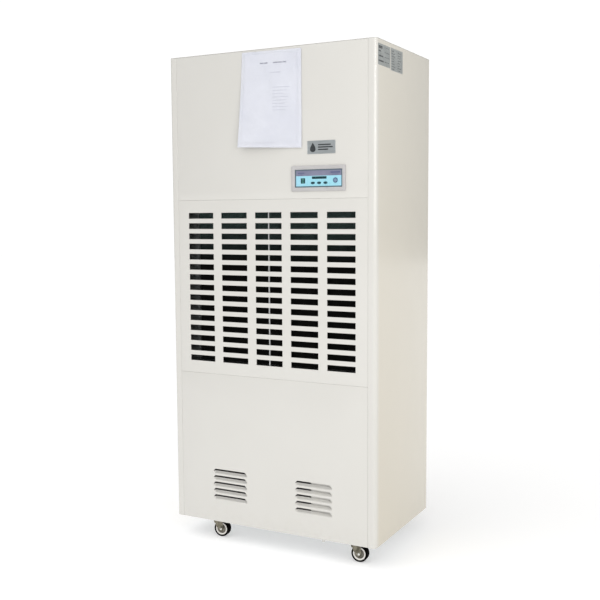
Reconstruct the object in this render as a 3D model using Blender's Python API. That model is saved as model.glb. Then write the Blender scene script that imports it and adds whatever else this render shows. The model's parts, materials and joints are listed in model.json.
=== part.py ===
"""A cabinet dehumidifier on four swivel casters, built as its separate pieces.

Metres, +Z up. The origin is on the floor under the middle of the cabinet and the front faces -Y.
Air enters the slotted panel, crosses a filter, the evaporator and the condenser, and a double-inlet
blower in the upper compartment sends it out through the grille in the top. The compressor and the
electrical box stand in the lower compartment.
"""

import math

import bmesh
import bpy
from mathutils import Matrix, Vector

# Cabinet
WIDTH = 0.770
DEPTH = 0.470
CABINET_HEIGHT = 1.604
CASTER_HEIGHT = 0.072
SHEET = 0.0015
GAP = 0.0004
CORNER_RADIUS = 0.012
STRIP_WIDTH = 0.028
RETURN_DEPTH = 0.014
REAR_FLANGE = 0.020

BOTTOM = CASTER_HEIGHT
TOP = CASTER_HEIGHT + CABINET_HEIGHT
SIDE = WIDTH / 2
FRONT = -DEPTH / 2
REAR = DEPTH / 2
PANEL_EDGE = SIDE - STRIP_WIDTH
UPPER_SEAM = BOTTOM + 1.1185
LOWER_SEAM = BOTTOM + 0.522
INSIDE_X = SIDE - SHEET - 0.001
INSIDE_FRONT = FRONT + 0.0185
INSIDE_REAR = REAR - 0.015
COVER_UNDERSIDE = TOP - SHEET
FRONT_RETURN = FRONT + RETURN_DEPTH

# Intake slots and lower louvres
SLOT_COLUMNS, SLOT_ROWS = 5, 15
SLOT_SIZE = (0.100, 0.0198)
SLOT_PITCH = (0.1325, 0.0351)
LOUVRE_COUNT = 5
LOUVRE_PITCH = 0.0228
LOUVRE_WIDTH = 0.136
LOUVRE_HEIGHT = 0.017
LOUVRE_DEPTH = 0.009
LOUVRE_X = 0.1615
LOUVRE_CORNER = 0.0085
LOUVRE_MOUTH = 0.0085
LOUVRE_TOP = BOTTOM + 0.1875

# Shelf, deck and coils
SHELF_Z = LOWER_SEAM - 0.0035
DECK_Z = UPPER_SEAM - 0.0045
PAN_X = 0.335
PAN_FRONT, PAN_REAR = -0.205, -0.055
PAN_Z = SHELF_Z + SHEET + 0.0005
PAN_HEIGHT = 0.030
FIN_X = 0.300
COIL_BOTTOM, COIL_TOP = 0.635, 1.170
TUBE_ROWS = 10
TUBE_PITCH = 0.054
TUBE_RADIUS = 0.005
BEND_REACH = 0.45
FIRST_TUBE_Z = 0.659
EVAPORATOR_Y = (-0.190, -0.145)
CONDENSER_Y = (-0.130, -0.080)
COIL_FLANGE_X = 0.345
PIPE_X = -0.357

# Blower
FAN_Y = -0.010
FAN_Z = DECK_Z + 0.193
WHEEL_RADIUS = 0.125
WHEEL_HALF_WIDTH = 0.125
BLADE_COUNT = 24
SCROLL_HALF_WIDTH = 0.150
SCROLL_START_RADIUS = 0.140
SCROLL_END_RADIUS = 0.205
SHAFT_RADIUS = 0.008
MOTOR_RADIUS = 0.065
MOTOR_X = (0.165, 0.300)
THROAT_FRONT = FAN_Y + SCROLL_START_RADIUS * math.cos(math.radians(60))
THROAT_REAR = FAN_Y + SCROLL_END_RADIUS

# Compressor
COMPRESSOR_XY = (-0.170, 0.040)
COMPRESSOR_RADIUS = 0.078
COMPRESSOR_Z = (0.104, 0.420)
ACCUMULATOR_XY = (-0.040, 0.040)
ACCUMULATOR_RADIUS = 0.033

# Electrical box, seen through the right louvres
BOX_X = (0.138, 0.338)
BOX_Y = (-0.203, -0.085)
BOX_Z = (BOTTOM + 0.0035, 0.460)
LID_MARGIN = 0.010
LID_FRONT = -0.2232

# Control panel
CONTROL_X, CONTROL_Z = 0.1855, BOTTOM + 1.1825
BEZEL_HALF = (0.096, 0.0405)
BEZEL_WINDOW_HALF = (0.084, 0.028)
BEZEL_COLLAR_HALF = (0.0875, 0.0325)
BEZEL_PROUD = 0.0045
OVERLAY_HALF = (0.0852, 0.0292)
OVERLAY_Y = (FRONT + 0.0001, FRONT + 0.0015)
KEY_Y = (FRONT - 0.0015, FRONT + 0.0050)
KEY_CLEARANCE = 0.0004
KEY_XS = (0.1653, 0.1878, 0.2102)
KEY_Z = BOTTOM + 1.168
KEY_RADII = (0.0068, 0.0036)
POWER_KEY_XZ = (0.2452, BOTTOM + 1.1754)
POWER_KEY_RADII = (0.0080, 0.0080)
DISPLAY_X = (0.1620, 0.2142)
DISPLAY_Z = (BOTTOM + 1.1805, BOTTOM + 1.1885)

# Badge and document pouch on the front
BADGE_X, BADGE_Z = (0.147, 0.246), (BOTTOM + 1.2595, BOTTOM + 1.3010)
BADGE_THICKNESS = 0.0012
POUCH_X = (-0.0925, 0.127)
POUCH_Z = (BOTTOM + 1.285, BOTTOM + 1.594)
POUCH_THICKNESS = 0.0030
POUCH_LIFT = 0.024
POUCH_LEAN = 0.012

# Rear fittings
DRAIN_X, DRAIN_Z = -0.060, BOTTOM + 0.058
GLAND_X, GLAND_Z = 0.230, BOTTOM + 0.130

# Casters
SWIVEL_XS, SWIVEL_Y = (-0.265, 0.272), 0.180
TRAIL = 0.034
CASTER_WHEEL_RADIUS = 0.0285
CASTER_WHEEL_HALF = 0.012
CASTER_SIDES = 32
AXLE_Z = CASTER_WHEEL_RADIUS * math.cos(math.pi / CASTER_SIDES)
AXLE_RADIUS = 0.0040
AXLE_BORE_RADIUS = 0.0043
FORK_INNER_HALF = 0.0135
FORK_SHEET = 0.0020
CROWN_Z = (0.0592, 0.0614)
CASTERS = {
    "front_left": (SWIVEL_XS[0], -SWIVEL_Y, 5),
    "front_right": (SWIVEL_XS[1], -SWIVEL_Y, 4),
    "rear_left": (SWIVEL_XS[0], SWIVEL_Y, 19),
    "rear_right": (SWIVEL_XS[1], SWIVEL_Y, 165),
}

COLOURS = {
    "cream_paint": ((0.80, 0.78, 0.72), 0.35, 0.0),
    "galvanised": ((0.56, 0.58, 0.58), 0.45, 0.8),
    "zinc_steel": ((0.62, 0.61, 0.57), 0.35, 0.9),
    "aluminium": ((0.66, 0.67, 0.68), 0.40, 0.9),
    "copper": ((0.72, 0.38, 0.22), 0.35, 1.0),
    "black_paint": ((0.03, 0.03, 0.03), 0.40, 0.0),
    "black_plastic": ((0.03, 0.03, 0.035), 0.50, 0.0),
    "dark_mesh": ((0.05, 0.06, 0.06), 0.70, 0.0),
    "rubber": ((0.025, 0.025, 0.025), 0.80, 0.0),
    "grey_plastic": ((0.66, 0.66, 0.65), 0.45, 0.0),
    "white_plastic": ((0.82, 0.82, 0.80), 0.40, 0.0),
    "blue_overlay": ((0.33, 0.74, 0.88), 0.35, 0.0),
    "display_glass": ((0.02, 0.10, 0.13), 0.10, 0.0),
    "board_green": ((0.05, 0.25, 0.12), 0.50, 0.0),
    "badge_silver": ((0.60, 0.62, 0.62), 0.35, 0.7),
    "clear_sleeve": ((0.84, 0.86, 0.92), 0.20, 0.0),
    "hose_grey": ((0.45, 0.46, 0.47), 0.60, 0.0),
}
SMOOTH_ANGLE = math.radians(32)


# Building blocks


def clear_scene():
    for item in list(bpy.data.objects):
        bpy.data.objects.remove(item)


def material(name):
    found = bpy.data.materials.get(name)
    if found:
        return found
    colour, roughness, metallic = COLOURS[name]
    made = bpy.data.materials.new(name)
    made.use_nodes = True
    shader = made.node_tree.nodes["Principled BSDF"]
    shader.inputs["Base Color"].default_value = (*colour, 1.0)
    shader.inputs["Roughness"].default_value = roughness
    shader.inputs["Metallic"].default_value = metallic
    made.diffuse_color = (*colour, 1.0)
    return made


def solid(bm, name="piece", surface="cream_paint"):
    """An object from a closed bmesh."""
    bmesh.ops.recalc_face_normals(bm, faces=bm.faces)
    mesh = bpy.data.meshes.new(name)
    bm.to_mesh(mesh)
    bm.free()
    mesh.materials.append(material(surface))
    made = bpy.data.objects.new(name, mesh)
    bpy.context.scene.collection.objects.link(made)
    return made


def block(x, y, z):
    """A box between the two values given for each axis."""
    bm = bmesh.new()
    size = Vector((x[1] - x[0], y[1] - y[0], z[1] - z[0]))
    middle = Vector((x[0] + x[1], y[0] + y[1], z[0] + z[1])) / 2
    place = Matrix.Translation(middle) @ Matrix.Diagonal((*size, 1.0))
    bmesh.ops.create_cube(bm, size=1.0, matrix=place)
    return solid(bm)


def rounded_block(x, y, z, radius, segments=3, along="z"):
    """A box whose four edges along one axis are rounded."""
    bm = bmesh.new()
    size = Vector((x[1] - x[0], y[1] - y[0], z[1] - z[0]))
    middle = Vector((x[0] + x[1], y[0] + y[1], z[0] + z[1])) / 2
    place = Matrix.Translation(middle) @ Matrix.Diagonal((*size, 1.0))
    bmesh.ops.create_cube(bm, size=1.0, matrix=place)
    axis = "xyz".index(along)
    edges = [e for e in bm.edges if abs((e.verts[0].co - e.verts[1].co)[axis]) > 1e-6]
    bmesh.ops.bevel(
        bm, geom=edges, offset=radius, segments=segments, profile=0.5, affect="EDGES"
    )
    return solid(bm)


def prism(outline, start, end, axis="z"):
    """An outline of two coordinates, extruded along the third axis from start to end."""
    place = {
        "x": lambda a, b, c: (c, a, b),
        "y": lambda a, b, c: (a, c, b),
        "z": lambda a, b, c: (a, b, c),
    }[axis]
    bm = bmesh.new()
    rings = [[bm.verts.new(place(a, b, c)) for a, b in outline] for c in (start, end)]
    bm.faces.new(rings[0])
    bm.faces.new(reversed(rings[1]))
    for i in range(len(outline)):
        j = (i + 1) % len(outline)
        bm.faces.new((rings[0][j], rings[0][i], rings[1][i], rings[1][j]))
    return solid(bm)


def circle(centre, radii, count, start=0.0):
    return [
        (
            centre[0] + radii[0] * math.cos(start + 2 * math.pi * i / count),
            centre[1] + radii[1] * math.sin(start + 2 * math.pi * i / count),
        )
        for i in range(count)
    ]


def arc(centre, radius, first, last, steps):
    """Points on a circle from one angle to another, in degrees."""
    return [
        (
            centre[0] + radius * math.cos(math.radians(first + (last - first) * i / steps)),
            centre[1] + radius * math.sin(math.radians(first + (last - first) * i / steps)),
        )
        for i in range(steps + 1)
    ]


def cylinder(centre, radius, start, end, axis="z", sides=24, turn=0.0):
    return prism(circle(centre, (radius, radius), sides, turn), start, end, axis)


def turned(profile, centre, sides=32, axis="z"):
    """A closed profile of (radius, height) points turned about an axis; radius 0 closes an end."""
    bm = bmesh.new()
    rings = []
    for radius, height in profile:
        count = 1 if radius == 0 else sides
        ring = []
        for i in range(count):
            angle = 2 * math.pi * (i + 0.5) / sides
            a, b = radius * math.cos(angle), radius * math.sin(angle)
            point = (a, b, height) if axis == "z" else (height, a, b)
            ring.append(bm.verts.new(Vector(point) + Vector(centre)))
        rings.append(ring)
    closed = profile[0][0] != 0
    pairs = list(zip(rings, rings[1:] + rings[:1])) if closed else list(zip(rings, rings[1:]))
    for low, high in pairs:
        for i in range(sides):
            j = (i + 1) % sides
            corners = [low[i % len(low)], low[j % len(low)], high[j % len(high)], high[i % len(high)]]
            unique = list(dict.fromkeys(corners))
            if len(unique) > 2:
                bm.faces.new(unique)
    return solid(bm)


def strip(path, thickness):
    """The closed outline of a folded sheet: the path is its outer side, seen on the right."""
    inner = []
    for i, point in enumerate(path):
        before = Vector(path[max(i - 1, 0)])
        here = Vector(point)
        after = Vector(path[min(i + 1, len(path) - 1)])
        normals = []
        for a, b in ((before, here), (here, after)):
            if (b - a).length > 1e-9:
                direction = (b - a).normalized()
                normals.append(Vector((-direction.y, direction.x)))
        middle = sum(normals, Vector((0.0, 0.0))).normalized()
        inner.append(tuple(here + middle * (thickness / middle.dot(normals[0]))))
    return list(path) + inner[::-1]


def apply_boolean(target, others, operation):
    for other in others:
        step = target.modifiers.new("boolean", "BOOLEAN")
        step.operation = operation
        step.solver = "EXACT"
        step.object = other
    graph = bpy.context.evaluated_depsgraph_get()
    mesh = bpy.data.meshes.new_from_object(target.evaluated_get(graph))
    target.modifiers.clear()
    target.data = mesh
    for other in others:
        bpy.data.objects.remove(other)
    return target


def cut(target, *cutters):
    return apply_boolean(target, cutters, "DIFFERENCE")


def join(target, *others):
    return apply_boolean(target, others, "UNION")


def gathered(pieces):
    """Pieces that don't touch, held in one mesh to be used as a single cutter or addition."""
    bm = bmesh.new()
    for piece in pieces:
        bm.from_mesh(piece.data)
        bpy.data.objects.remove(piece)
    return solid(bm)


def finish(piece, name, surface):
    """Names a finished node, gives it its material and shades its round faces smooth."""
    piece.name = name
    piece.data.name = name
    piece.data.materials.clear()
    piece.data.materials.append(material(surface))
    piece.data.shade_smooth()
    piece.data.set_sharp_from_angle(angle=SMOOTH_ANGLE)
    return piece


def set_origin(piece, point, turn=0.0):
    """Moves an object's origin to a joint's axis without moving its shape, then turns it about Z."""
    piece.data.transform(Matrix.Translation(-Vector(point)))
    piece.location = point
    piece.rotation_euler = (0.0, 0.0, turn)


def filleted(points, radius, steps=4):
    """A route with its corners rounded by arcs."""
    route = [Vector(points[0])]
    for before, here, after in zip(points, points[1:], points[2:]):
        here = Vector(here)
        into = (here - Vector(before)).normalized()
        out = (Vector(after) - here).normalized()
        start, end = here - into * radius, here + out * radius
        for i in range(steps + 1):
            t = i / steps
            route.append(start.lerp(here, t).lerp(here.lerp(end, t), t))
    route.append(Vector(points[-1]))
    return route


def tube(points, radius, sides=8):
    """A closed round tube along a route, its section carried along without twist."""
    bm = bmesh.new()
    tangents = []
    for i in range(len(points)):
        tangents.append((points[min(i + 1, len(points) - 1)] - points[max(i - 1, 0)]).normalized())
    normal = tangents[0].orthogonal().normalized()
    rings = []
    for point, tangent in zip(points, tangents):
        normal = (normal - tangent * normal.dot(tangent)).normalized()
        other = tangent.cross(normal)
        ring = []
        for i in range(sides):
            angle = 2 * math.pi * i / sides
            offset = normal * math.cos(angle) + other * math.sin(angle)
            ring.append(bm.verts.new(point + offset * radius))
        rings.append(ring)
    for low, high in zip(rings, rings[1:]):
        for i in range(sides):
            j = (i + 1) % sides
            bm.faces.new((low[i], low[j], high[j], high[i]))
    bm.faces.new(reversed(rings[0]))
    bm.faces.new(rings[-1])
    return solid(bm)


# Sheet-metal cabinet


def front_tray(half_width, low, high):
    """A front panel: a flat face with its four edges folded back."""
    outer = block((-half_width, half_width), (FRONT, FRONT_RETURN), (low, high))
    bm = bmesh.new()
    bm.from_mesh(outer.data)
    edges = [e for e in bm.edges if all(abs(v.co.y - FRONT) < 1e-6 for v in e.verts)]
    bmesh.ops.bevel(bm, geom=edges, offset=0.0015, segments=2, profile=0.5, affect="EDGES")
    bpy.data.objects.remove(outer)
    shell = solid(bm)
    pocket = block(
        (-half_width + SHEET, half_width - SHEET),
        (FRONT + SHEET, FRONT_RETURN + 0.01),
        (low + SHEET, high - SHEET),
    )
    return cut(shell, pocket)


def side_panel(name, sign):
    centre = (SIDE - CORNER_RADIUS, FRONT + CORNER_RADIUS)
    flange_y = REAR - SHEET - GAP
    path = [(PANEL_EDGE, FRONT + 0.016), (PANEL_EDGE, FRONT)]
    path += arc(centre, CORNER_RADIUS, -90, 0, 6)
    path += [(SIDE, flange_y), (SIDE - REAR_FLANGE, flange_y), (SIDE - REAR_FLANGE, flange_y - 0.012)]
    outline = [(sign * x, y) for x, y in strip(path, SHEET)]
    finish(prism(outline, BOTTOM, COVER_UNDERSIDE - GAP), name, "cream_paint")


def base_pan():
    x, y = (-INSIDE_X, INSIDE_X), (INSIDE_FRONT, INSIDE_REAR)
    floor, height = 0.002, 0.040
    shell = block(x, y, (BOTTOM, BOTTOM + height))
    inner = block(
        (x[0] + floor, x[1] - floor), (y[0] + floor, y[1] - floor), (BOTTOM + floor, BOTTOM + 0.1)
    )
    finish(cut(shell, inner), "base_pan", "galvanised")


def rear_panel():
    half = SIDE - 0.001
    sheet = block((-half, half), (REAR - SHEET, REAR), (BOTTOM + 0.001, COVER_UNDERSIDE - GAP))
    holes = [
        cylinder((DRAIN_X, DRAIN_Z), 0.0118, REAR - 0.01, REAR + 0.01, "y"),
        cylinder((GLAND_X, GLAND_Z), 0.0108, REAR - 0.01, REAR + 0.01, "y"),
    ]
    finish(cut(sheet, *holes), "rear_panel", "cream_paint")


def top_cover():
    outline = [(-SIDE, REAR)]
    outline += arc((-SIDE + CORNER_RADIUS, FRONT + CORNER_RADIUS), CORNER_RADIUS, 180, 270, 6)
    outline += arc((SIDE - CORNER_RADIUS, FRONT + CORNER_RADIUS), CORNER_RADIUS, 270, 360, 6)
    outline += [(SIDE, REAR)]
    plate = prism(outline, COVER_UNDERSIDE, TOP)
    lip_x = (INSIDE_X - SHEET, INSIDE_X)
    lips = gathered(
        [block([s * x for x in lip_x][::s], (-0.20, 0.20), (TOP - 0.016, TOP - 0.0005)) for s in (1, -1)]
    )
    opening = block(
        (-SCROLL_HALF_WIDTH, SCROLL_HALF_WIDTH),
        (THROAT_FRONT - 0.002, THROAT_REAR + 0.002),
        (TOP - 0.01, TOP + 0.01),
    )
    finish(cut(join(plate, lips), opening), "top_cover", "cream_paint")


def outlet_grille():
    """A framed grille of slanted bars that drops into the top cover's opening."""
    low, high = TOP + GAP, TOP + 0.003
    x, y = SCROLL_HALF_WIDTH + 0.016, (THROAT_FRONT - 0.018, THROAT_REAR + 0.018)
    inner_x = SCROLL_HALF_WIDTH - 0.004
    inner_y = (THROAT_FRONT + 0.003, THROAT_REAR - 0.003)
    frame = block((-x, x), y, (low, high))
    collar = block((-inner_x, inner_x), inner_y, (TOP - 0.012, low + 0.001))
    frame = join(frame, collar)
    wall = 0.002
    hollow = block(
        (-inner_x + wall, inner_x - wall),
        (inner_y[0] + wall, inner_y[1] - wall),
        (TOP - 0.02, TOP + 0.01),
    )
    frame = cut(frame, hollow)
    bars, count, lean = [], 9, 0.006
    for i in range(count):
        y0 = inner_y[0] + (inner_y[1] - inner_y[0]) * (i + 1) / (count + 1)
        section = [
            (y0 + lean / 2, TOP - 0.010),
            (y0 + lean / 2 + 0.0018, TOP - 0.010),
            (y0 - lean / 2 + 0.0018, high - 0.0005),
            (y0 - lean / 2, high - 0.0005),
        ]
        bars.append(prism(section, -inner_x + wall / 2, inner_x - wall / 2, "x"))
    stays = [
        block(
            (s - 0.0015, s + 0.0015),
            (inner_y[0] + wall / 2, inner_y[1] - wall / 2),
            (TOP - 0.011, TOP - 0.004),
        )
        for s in (-0.050, 0.050)
    ]
    finish(join(frame, gathered(bars), gathered(stays)), "outlet_grille", "white_plastic")


def upper_front_panel():
    tray = front_tray(PANEL_EDGE - 0.0006, UPPER_SEAM + 0.001, COVER_UNDERSIDE - GAP)
    window = block(
        (CONTROL_X - BEZEL_COLLAR_HALF[0] - 0.001, CONTROL_X + BEZEL_COLLAR_HALF[0] + 0.001),
        (FRONT - 0.01, FRONT + 0.005),
        (CONTROL_Z - BEZEL_COLLAR_HALF[1] - 0.001, CONTROL_Z + BEZEL_COLLAR_HALF[1] + 0.001),
    )
    finish(cut(tray, window), "upper_front_panel", "cream_paint")


def intake_grille_panel():
    low, high = LOWER_SEAM + 0.0012, UPPER_SEAM - 0.0012
    tray = front_tray(PANEL_EDGE - 0.0018, low, high)
    slots = []
    for column in range(SLOT_COLUMNS):
        for row in range(SLOT_ROWS):
            x = (column - (SLOT_COLUMNS - 1) / 2) * SLOT_PITCH[0]
            z = (low + high) / 2 + (row - (SLOT_ROWS - 1) / 2) * SLOT_PITCH[1]
            slots.append(
                block(
                    (x - SLOT_SIZE[0] / 2, x + SLOT_SIZE[0] / 2),
                    (FRONT - 0.005, FRONT + 0.005),
                    (z - SLOT_SIZE[1] / 2, z + SLOT_SIZE[1] / 2),
                )
            )
    finish(cut(tray, gathered(slots)), "intake_grille_panel", "cream_paint")


def lower_front_panel():
    """The service panel, with two groups of louvres whose flaps are pressed inwards."""
    tray = front_tray(PANEL_EDGE - 0.0012, BOTTOM, LOWER_SEAM - 0.001)
    holes, flaps = [], []
    for centre in (-LOUVRE_X, LOUVRE_X):
        for row in range(LOUVRE_COUNT):
            top = LOUVRE_TOP - row * LOUVRE_PITCH
            low = top - LOUVRE_HEIGHT
            half = LOUVRE_WIDTH / 2
            outline = [
                (centre - half, low),
                (centre + half, low),
                (centre + half, top - LOUVRE_CORNER),
                (centre + half - LOUVRE_CORNER, top),
                (centre - half + LOUVRE_CORNER, top),
                (centre - half, top - LOUVRE_CORNER),
            ]
            holes.append(prism(outline, FRONT - 0.005, FRONT + 0.005, "y"))
            flap = strip([(FRONT + 0.0001, low - 0.0005), (FRONT + LOUVRE_DEPTH, top - LOUVRE_MOUTH)], SHEET)
            flaps.append(prism(flap, centre - half + 0.0045, centre + half - 0.0045, "x"))
    finish(join(cut(tray, gathered(holes)), gathered(flaps)), "lower_front_panel", "cream_paint")


def mid_shelf():
    plate = block((-INSIDE_X, INSIDE_X), (INSIDE_FRONT, INSIDE_REAR), (SHELF_Z, SHELF_Z + SHEET))
    depth = (INSIDE_FRONT, INSIDE_FRONT + SHEET)
    apron = block((-INSIDE_X, INSIDE_X), depth, (SHELF_Z - 0.02, SHELF_Z + 0.0005))
    pipe_slot = block((-0.372, -0.338), (-0.190, -0.070), (SHELF_Z - 0.05, SHELF_Z + 0.05))
    hose_slot = (DRAIN_X - 0.014, DRAIN_X + 0.014)
    hose_hole = block(hose_slot, (0.075, 0.126), (SHELF_Z - 0.05, SHELF_Z + 0.05))
    finish(cut(join(plate, apron), pipe_slot, hose_hole), "mid_shelf", "galvanised")


def fan_deck():
    plate = block((-INSIDE_X, INSIDE_X), (INSIDE_FRONT, INSIDE_REAR), (DECK_Z, DECK_Z + SHEET))
    depth = (INSIDE_FRONT, INSIDE_FRONT + SHEET)
    apron = block((-INSIDE_X, INSIDE_X), depth, (DECK_Z - 0.012, DECK_Z + 0.0005))
    openings = [
        block([s * 0.185, s * 0.350][::s], (-0.060, 0.190), (DECK_Z - 0.05, DECK_Z + 0.05))
        for s in (1, -1)
    ]
    finish(cut(join(plate, apron), *openings), "fan_deck", "galvanised")


# Air filter, coils and drain


def filter_frame():
    half, low, high = 0.3515, LOWER_SEAM + 0.006, UPPER_SEAM - 0.006
    y = (FRONT + 0.0055, FRONT + 0.0105)
    border, stile_x, stile_half = 0.012, -0.0018, 0.0019
    frame = block((-half, half), y, (low, high))
    windows = [
        block(x, (y[0] - 0.01, y[1] + 0.01), (low + border, high - border))
        for x in ((border - half, stile_x - stile_half), (stile_x + stile_half, half - border))
    ]
    finish(cut(frame, *windows), "filter_frame", "aluminium")


def filter_mesh():
    half, low, high = 0.3505, LOWER_SEAM + 0.007, UPPER_SEAM - 0.007
    sheet = block((-half, half), (FRONT + 0.0109, FRONT + 0.0119), (low, high))
    finish(sheet, "filter_mesh", "dark_mesh")


def coil(name, y, flange_y):
    """A finned block, its end plates with outward flanges, and the tubes' return bends."""
    body = block((-FIN_X - 0.001, FIN_X + 0.001), y, (COIL_BOTTOM, COIL_TOP))
    rim_z = PAN_Z + PAN_HEIGHT + GAP
    plates = []
    for s in (1, -1):
        plate_y = (min(y[0] - 0.005, flange_y[0]), max(y[1] + 0.005, flange_y[1]))
        plate_x = [s * FIN_X, s * (FIN_X + 0.002)][::s]
        plates.append(block(plate_x, plate_y, (rim_z + 0.003, COIL_TOP + 0.010)))
        flange_x = [s * (FIN_X + 0.001), s * COIL_FLANGE_X][::s]
        plates.append(block(flange_x, flange_y, (rim_z, COIL_TOP + 0.010)))
    bends, middle = [], (y[0] + y[1]) / 2
    for row in range(TUBE_ROWS - 1):
        s = 1 if row % 2 == 0 else -1
        z = FIRST_TUBE_Z + (row + 0.5) * TUBE_PITCH
        x = s * (FIN_X + 0.001)
        ends = arc((0.0, 0.0), TUBE_PITCH / 2, -90, 90, 6)
        points = [Vector((x + s * a * BEND_REACH, middle, z + b)) for a, b in ends]
        points = [points[0] - Vector((s * 0.001, 0, 0))] + points + [points[-1] - Vector((s * 0.001, 0, 0))]
        bends.append(tube(points, TUBE_RADIUS, 6))
    for row in (0, TUBE_ROWS - 1):
        z = FIRST_TUBE_Z + row * TUBE_PITCH
        bends.append(cylinder((middle, z), TUBE_RADIUS, -0.318, -FIN_X - 0.001, "x", 8))
    finish(join(body, *plates, gathered(bends)), name, "aluminium")


def drain_pan():
    shell = block((-PAN_X, PAN_X), (PAN_FRONT, PAN_REAR), (PAN_Z, PAN_Z + PAN_HEIGHT))
    nipple = cylinder((DRAIN_X, PAN_Z + 0.012), 0.008, PAN_REAR - 0.0005, PAN_REAR + 0.022, "y", 16)
    inner = block(
        (-PAN_X + SHEET, PAN_X - SHEET),
        (PAN_FRONT + SHEET, PAN_REAR - SHEET),
        (PAN_Z + SHEET, PAN_Z + 0.1),
    )
    bore = cylinder((DRAIN_X, PAN_Z + 0.012), 0.006, PAN_REAR - 0.01, PAN_REAR + 0.03, "y", 16)
    finish(cut(join(shell, nipple), inner, bore), "drain_pan", "galvanised")


def drain_hose():
    start = (DRAIN_X, PAN_REAR + 0.0225, PAN_Z + 0.012)
    route = filleted(
        [
            start,
            (DRAIN_X, 0.110, PAN_Z + 0.012),
            (DRAIN_X, 0.110, DRAIN_Z),
            (DRAIN_X, REAR - 0.0205, DRAIN_Z),
        ],
        0.030,
        5,
    )
    finish(tube(route, 0.009, 10), "drain_hose", "hose_grey")


def drain_spout():
    """A barbed spout with a collar on each side of the rear panel."""
    y0 = REAR - SHEET - GAP
    body = turned(
        [
            (0.0062, -0.018),
            (0.0090, -0.018),
            (0.0090, -0.003),
            (0.0160, -0.003),
            (0.0160, 0.000),
            (0.0112, 0.000),
            (0.0112, SHEET + 2 * GAP),
            (0.0160, SHEET + 2 * GAP),
            (0.0160, SHEET + 0.0035),
            (0.0085, SHEET + 0.0035),
            (0.0085, 0.016),
            (0.0100, 0.016),
            (0.0082, 0.026),
            (0.0062, 0.026),
        ],
        (0, 0, 0),
        16,
    )
    body.data.transform(Matrix.Translation((DRAIN_X, y0, DRAIN_Z)) @ Matrix.Rotation(-math.pi / 2, 4, "X"))
    finish(body, "drain_spout", "white_plastic")


# Blower


def scroll_outline(shrink, top):
    """The blower casing's side outline in (y, z), drawn in by shrink."""
    points = []
    steps, first, last = 20, 60.0, 360.0
    for i in range(steps + 1):
        share = i / steps
        angle = math.radians(first + (last - first) * share)
        radius = SCROLL_START_RADIUS + (SCROLL_END_RADIUS - SCROLL_START_RADIUS) * share - shrink
        points.append((FAN_Y + radius * math.cos(angle), FAN_Z + radius * math.sin(angle)))
    points.append((THROAT_REAR - shrink, top))
    points.append((THROAT_FRONT + shrink, top))
    return points


def scroll_housing():
    outlet = COVER_UNDERSIDE - 0.0007
    half = SCROLL_HALF_WIDTH - 0.0005
    shell = prism(scroll_outline(0.0, outlet), -half, half, "x")
    feet = gathered(
        [
            block([s * 0.145, s * 0.172][::s], (-0.150, 0.150), (DECK_Z + SHEET + GAP, FAN_Z - 0.175))
            for s in (1, -1)
        ]
    )
    inner = prism(scroll_outline(SHEET, outlet + 0.02), -half + SHEET, half - SHEET, "x")
    mouth = cylinder((FAN_Y, FAN_Z), 0.108, -0.3, 0.3, "x", 32)
    finish(cut(join(shell, feet), inner, mouth), "scroll_housing", "galvanised")


def impeller():
    """A double-inlet wheel: curved blades between two rings, on a middle disc and hub."""
    inner_r, outer_r = 0.104, WHEEL_RADIUS
    blades = []
    for i in range(BLADE_COUNT):
        turn = 2 * math.pi * i / BLADE_COUNT
        curve = [(inner_r + 0.002, 0.000), (0.5 * (inner_r + outer_r), 0.0018), (outer_r - 0.001, 0.0068)]
        section = []
        for r, sweep in strip(curve, 0.0014):
            section.append(
                (
                    FAN_Y + r * math.cos(turn) - sweep * math.sin(turn),
                    FAN_Z + r * math.sin(turn) + sweep * math.cos(turn),
                )
            )
        blades.append(prism(section, -WHEEL_HALF_WIDTH + 0.001, WHEEL_HALF_WIDTH - 0.001, "x"))
    rings = []
    for x in (-WHEEL_HALF_WIDTH, WHEEL_HALF_WIDTH - 0.003):
        profile = [(inner_r, x), (outer_r, x), (outer_r, x + 0.003), (inner_r, x + 0.003)]
        rings.append(turned(profile, (0, FAN_Y, FAN_Z), BLADE_COUNT, "x"))
    bore = SHAFT_RADIUS + 0.0004
    hub = turned(
        [
            (bore, -0.022),
            (0.022, -0.022),
            (0.022, -0.001),
            (outer_r - 0.002, -0.001),
            (outer_r - 0.002, 0.001),
            (0.022, 0.001),
            (0.022, 0.022),
            (bore, 0.022),
        ],
        (0, FAN_Y, FAN_Z),
        BLADE_COUNT,
        "x",
    )
    finish(join(hub, gathered(rings), gathered(blades)), "impeller", "galvanised")


def fan_shaft():
    shaft = cylinder((FAN_Y, FAN_Z), SHAFT_RADIUS, -0.040, MOTOR_X[0] + 0.040, "x", 16)
    finish(shaft, "fan_shaft", "zinc_steel")


def fan_motor():
    start, end = MOTOR_X
    body = turned(
        [
            (0, start),
            (0.022, start),
            (0.024, start + 0.008),
            (MOTOR_RADIUS - 0.006, start + 0.012),
            (MOTOR_RADIUS, start + 0.020),
            (MOTOR_RADIUS, end - 0.020),
            (MOTOR_RADIUS - 0.006, end - 0.010),
            (0.020, end - 0.006),
            (0, end),
        ],
        (0, FAN_Y, FAN_Z),
        28,
        "x",
    )
    bore = cylinder((FAN_Y, FAN_Z), SHAFT_RADIUS + 0.0008, start - 0.01, start + 0.042, "x", 16)
    finish(cut(body, bore), "fan_motor", "black_paint")


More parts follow.
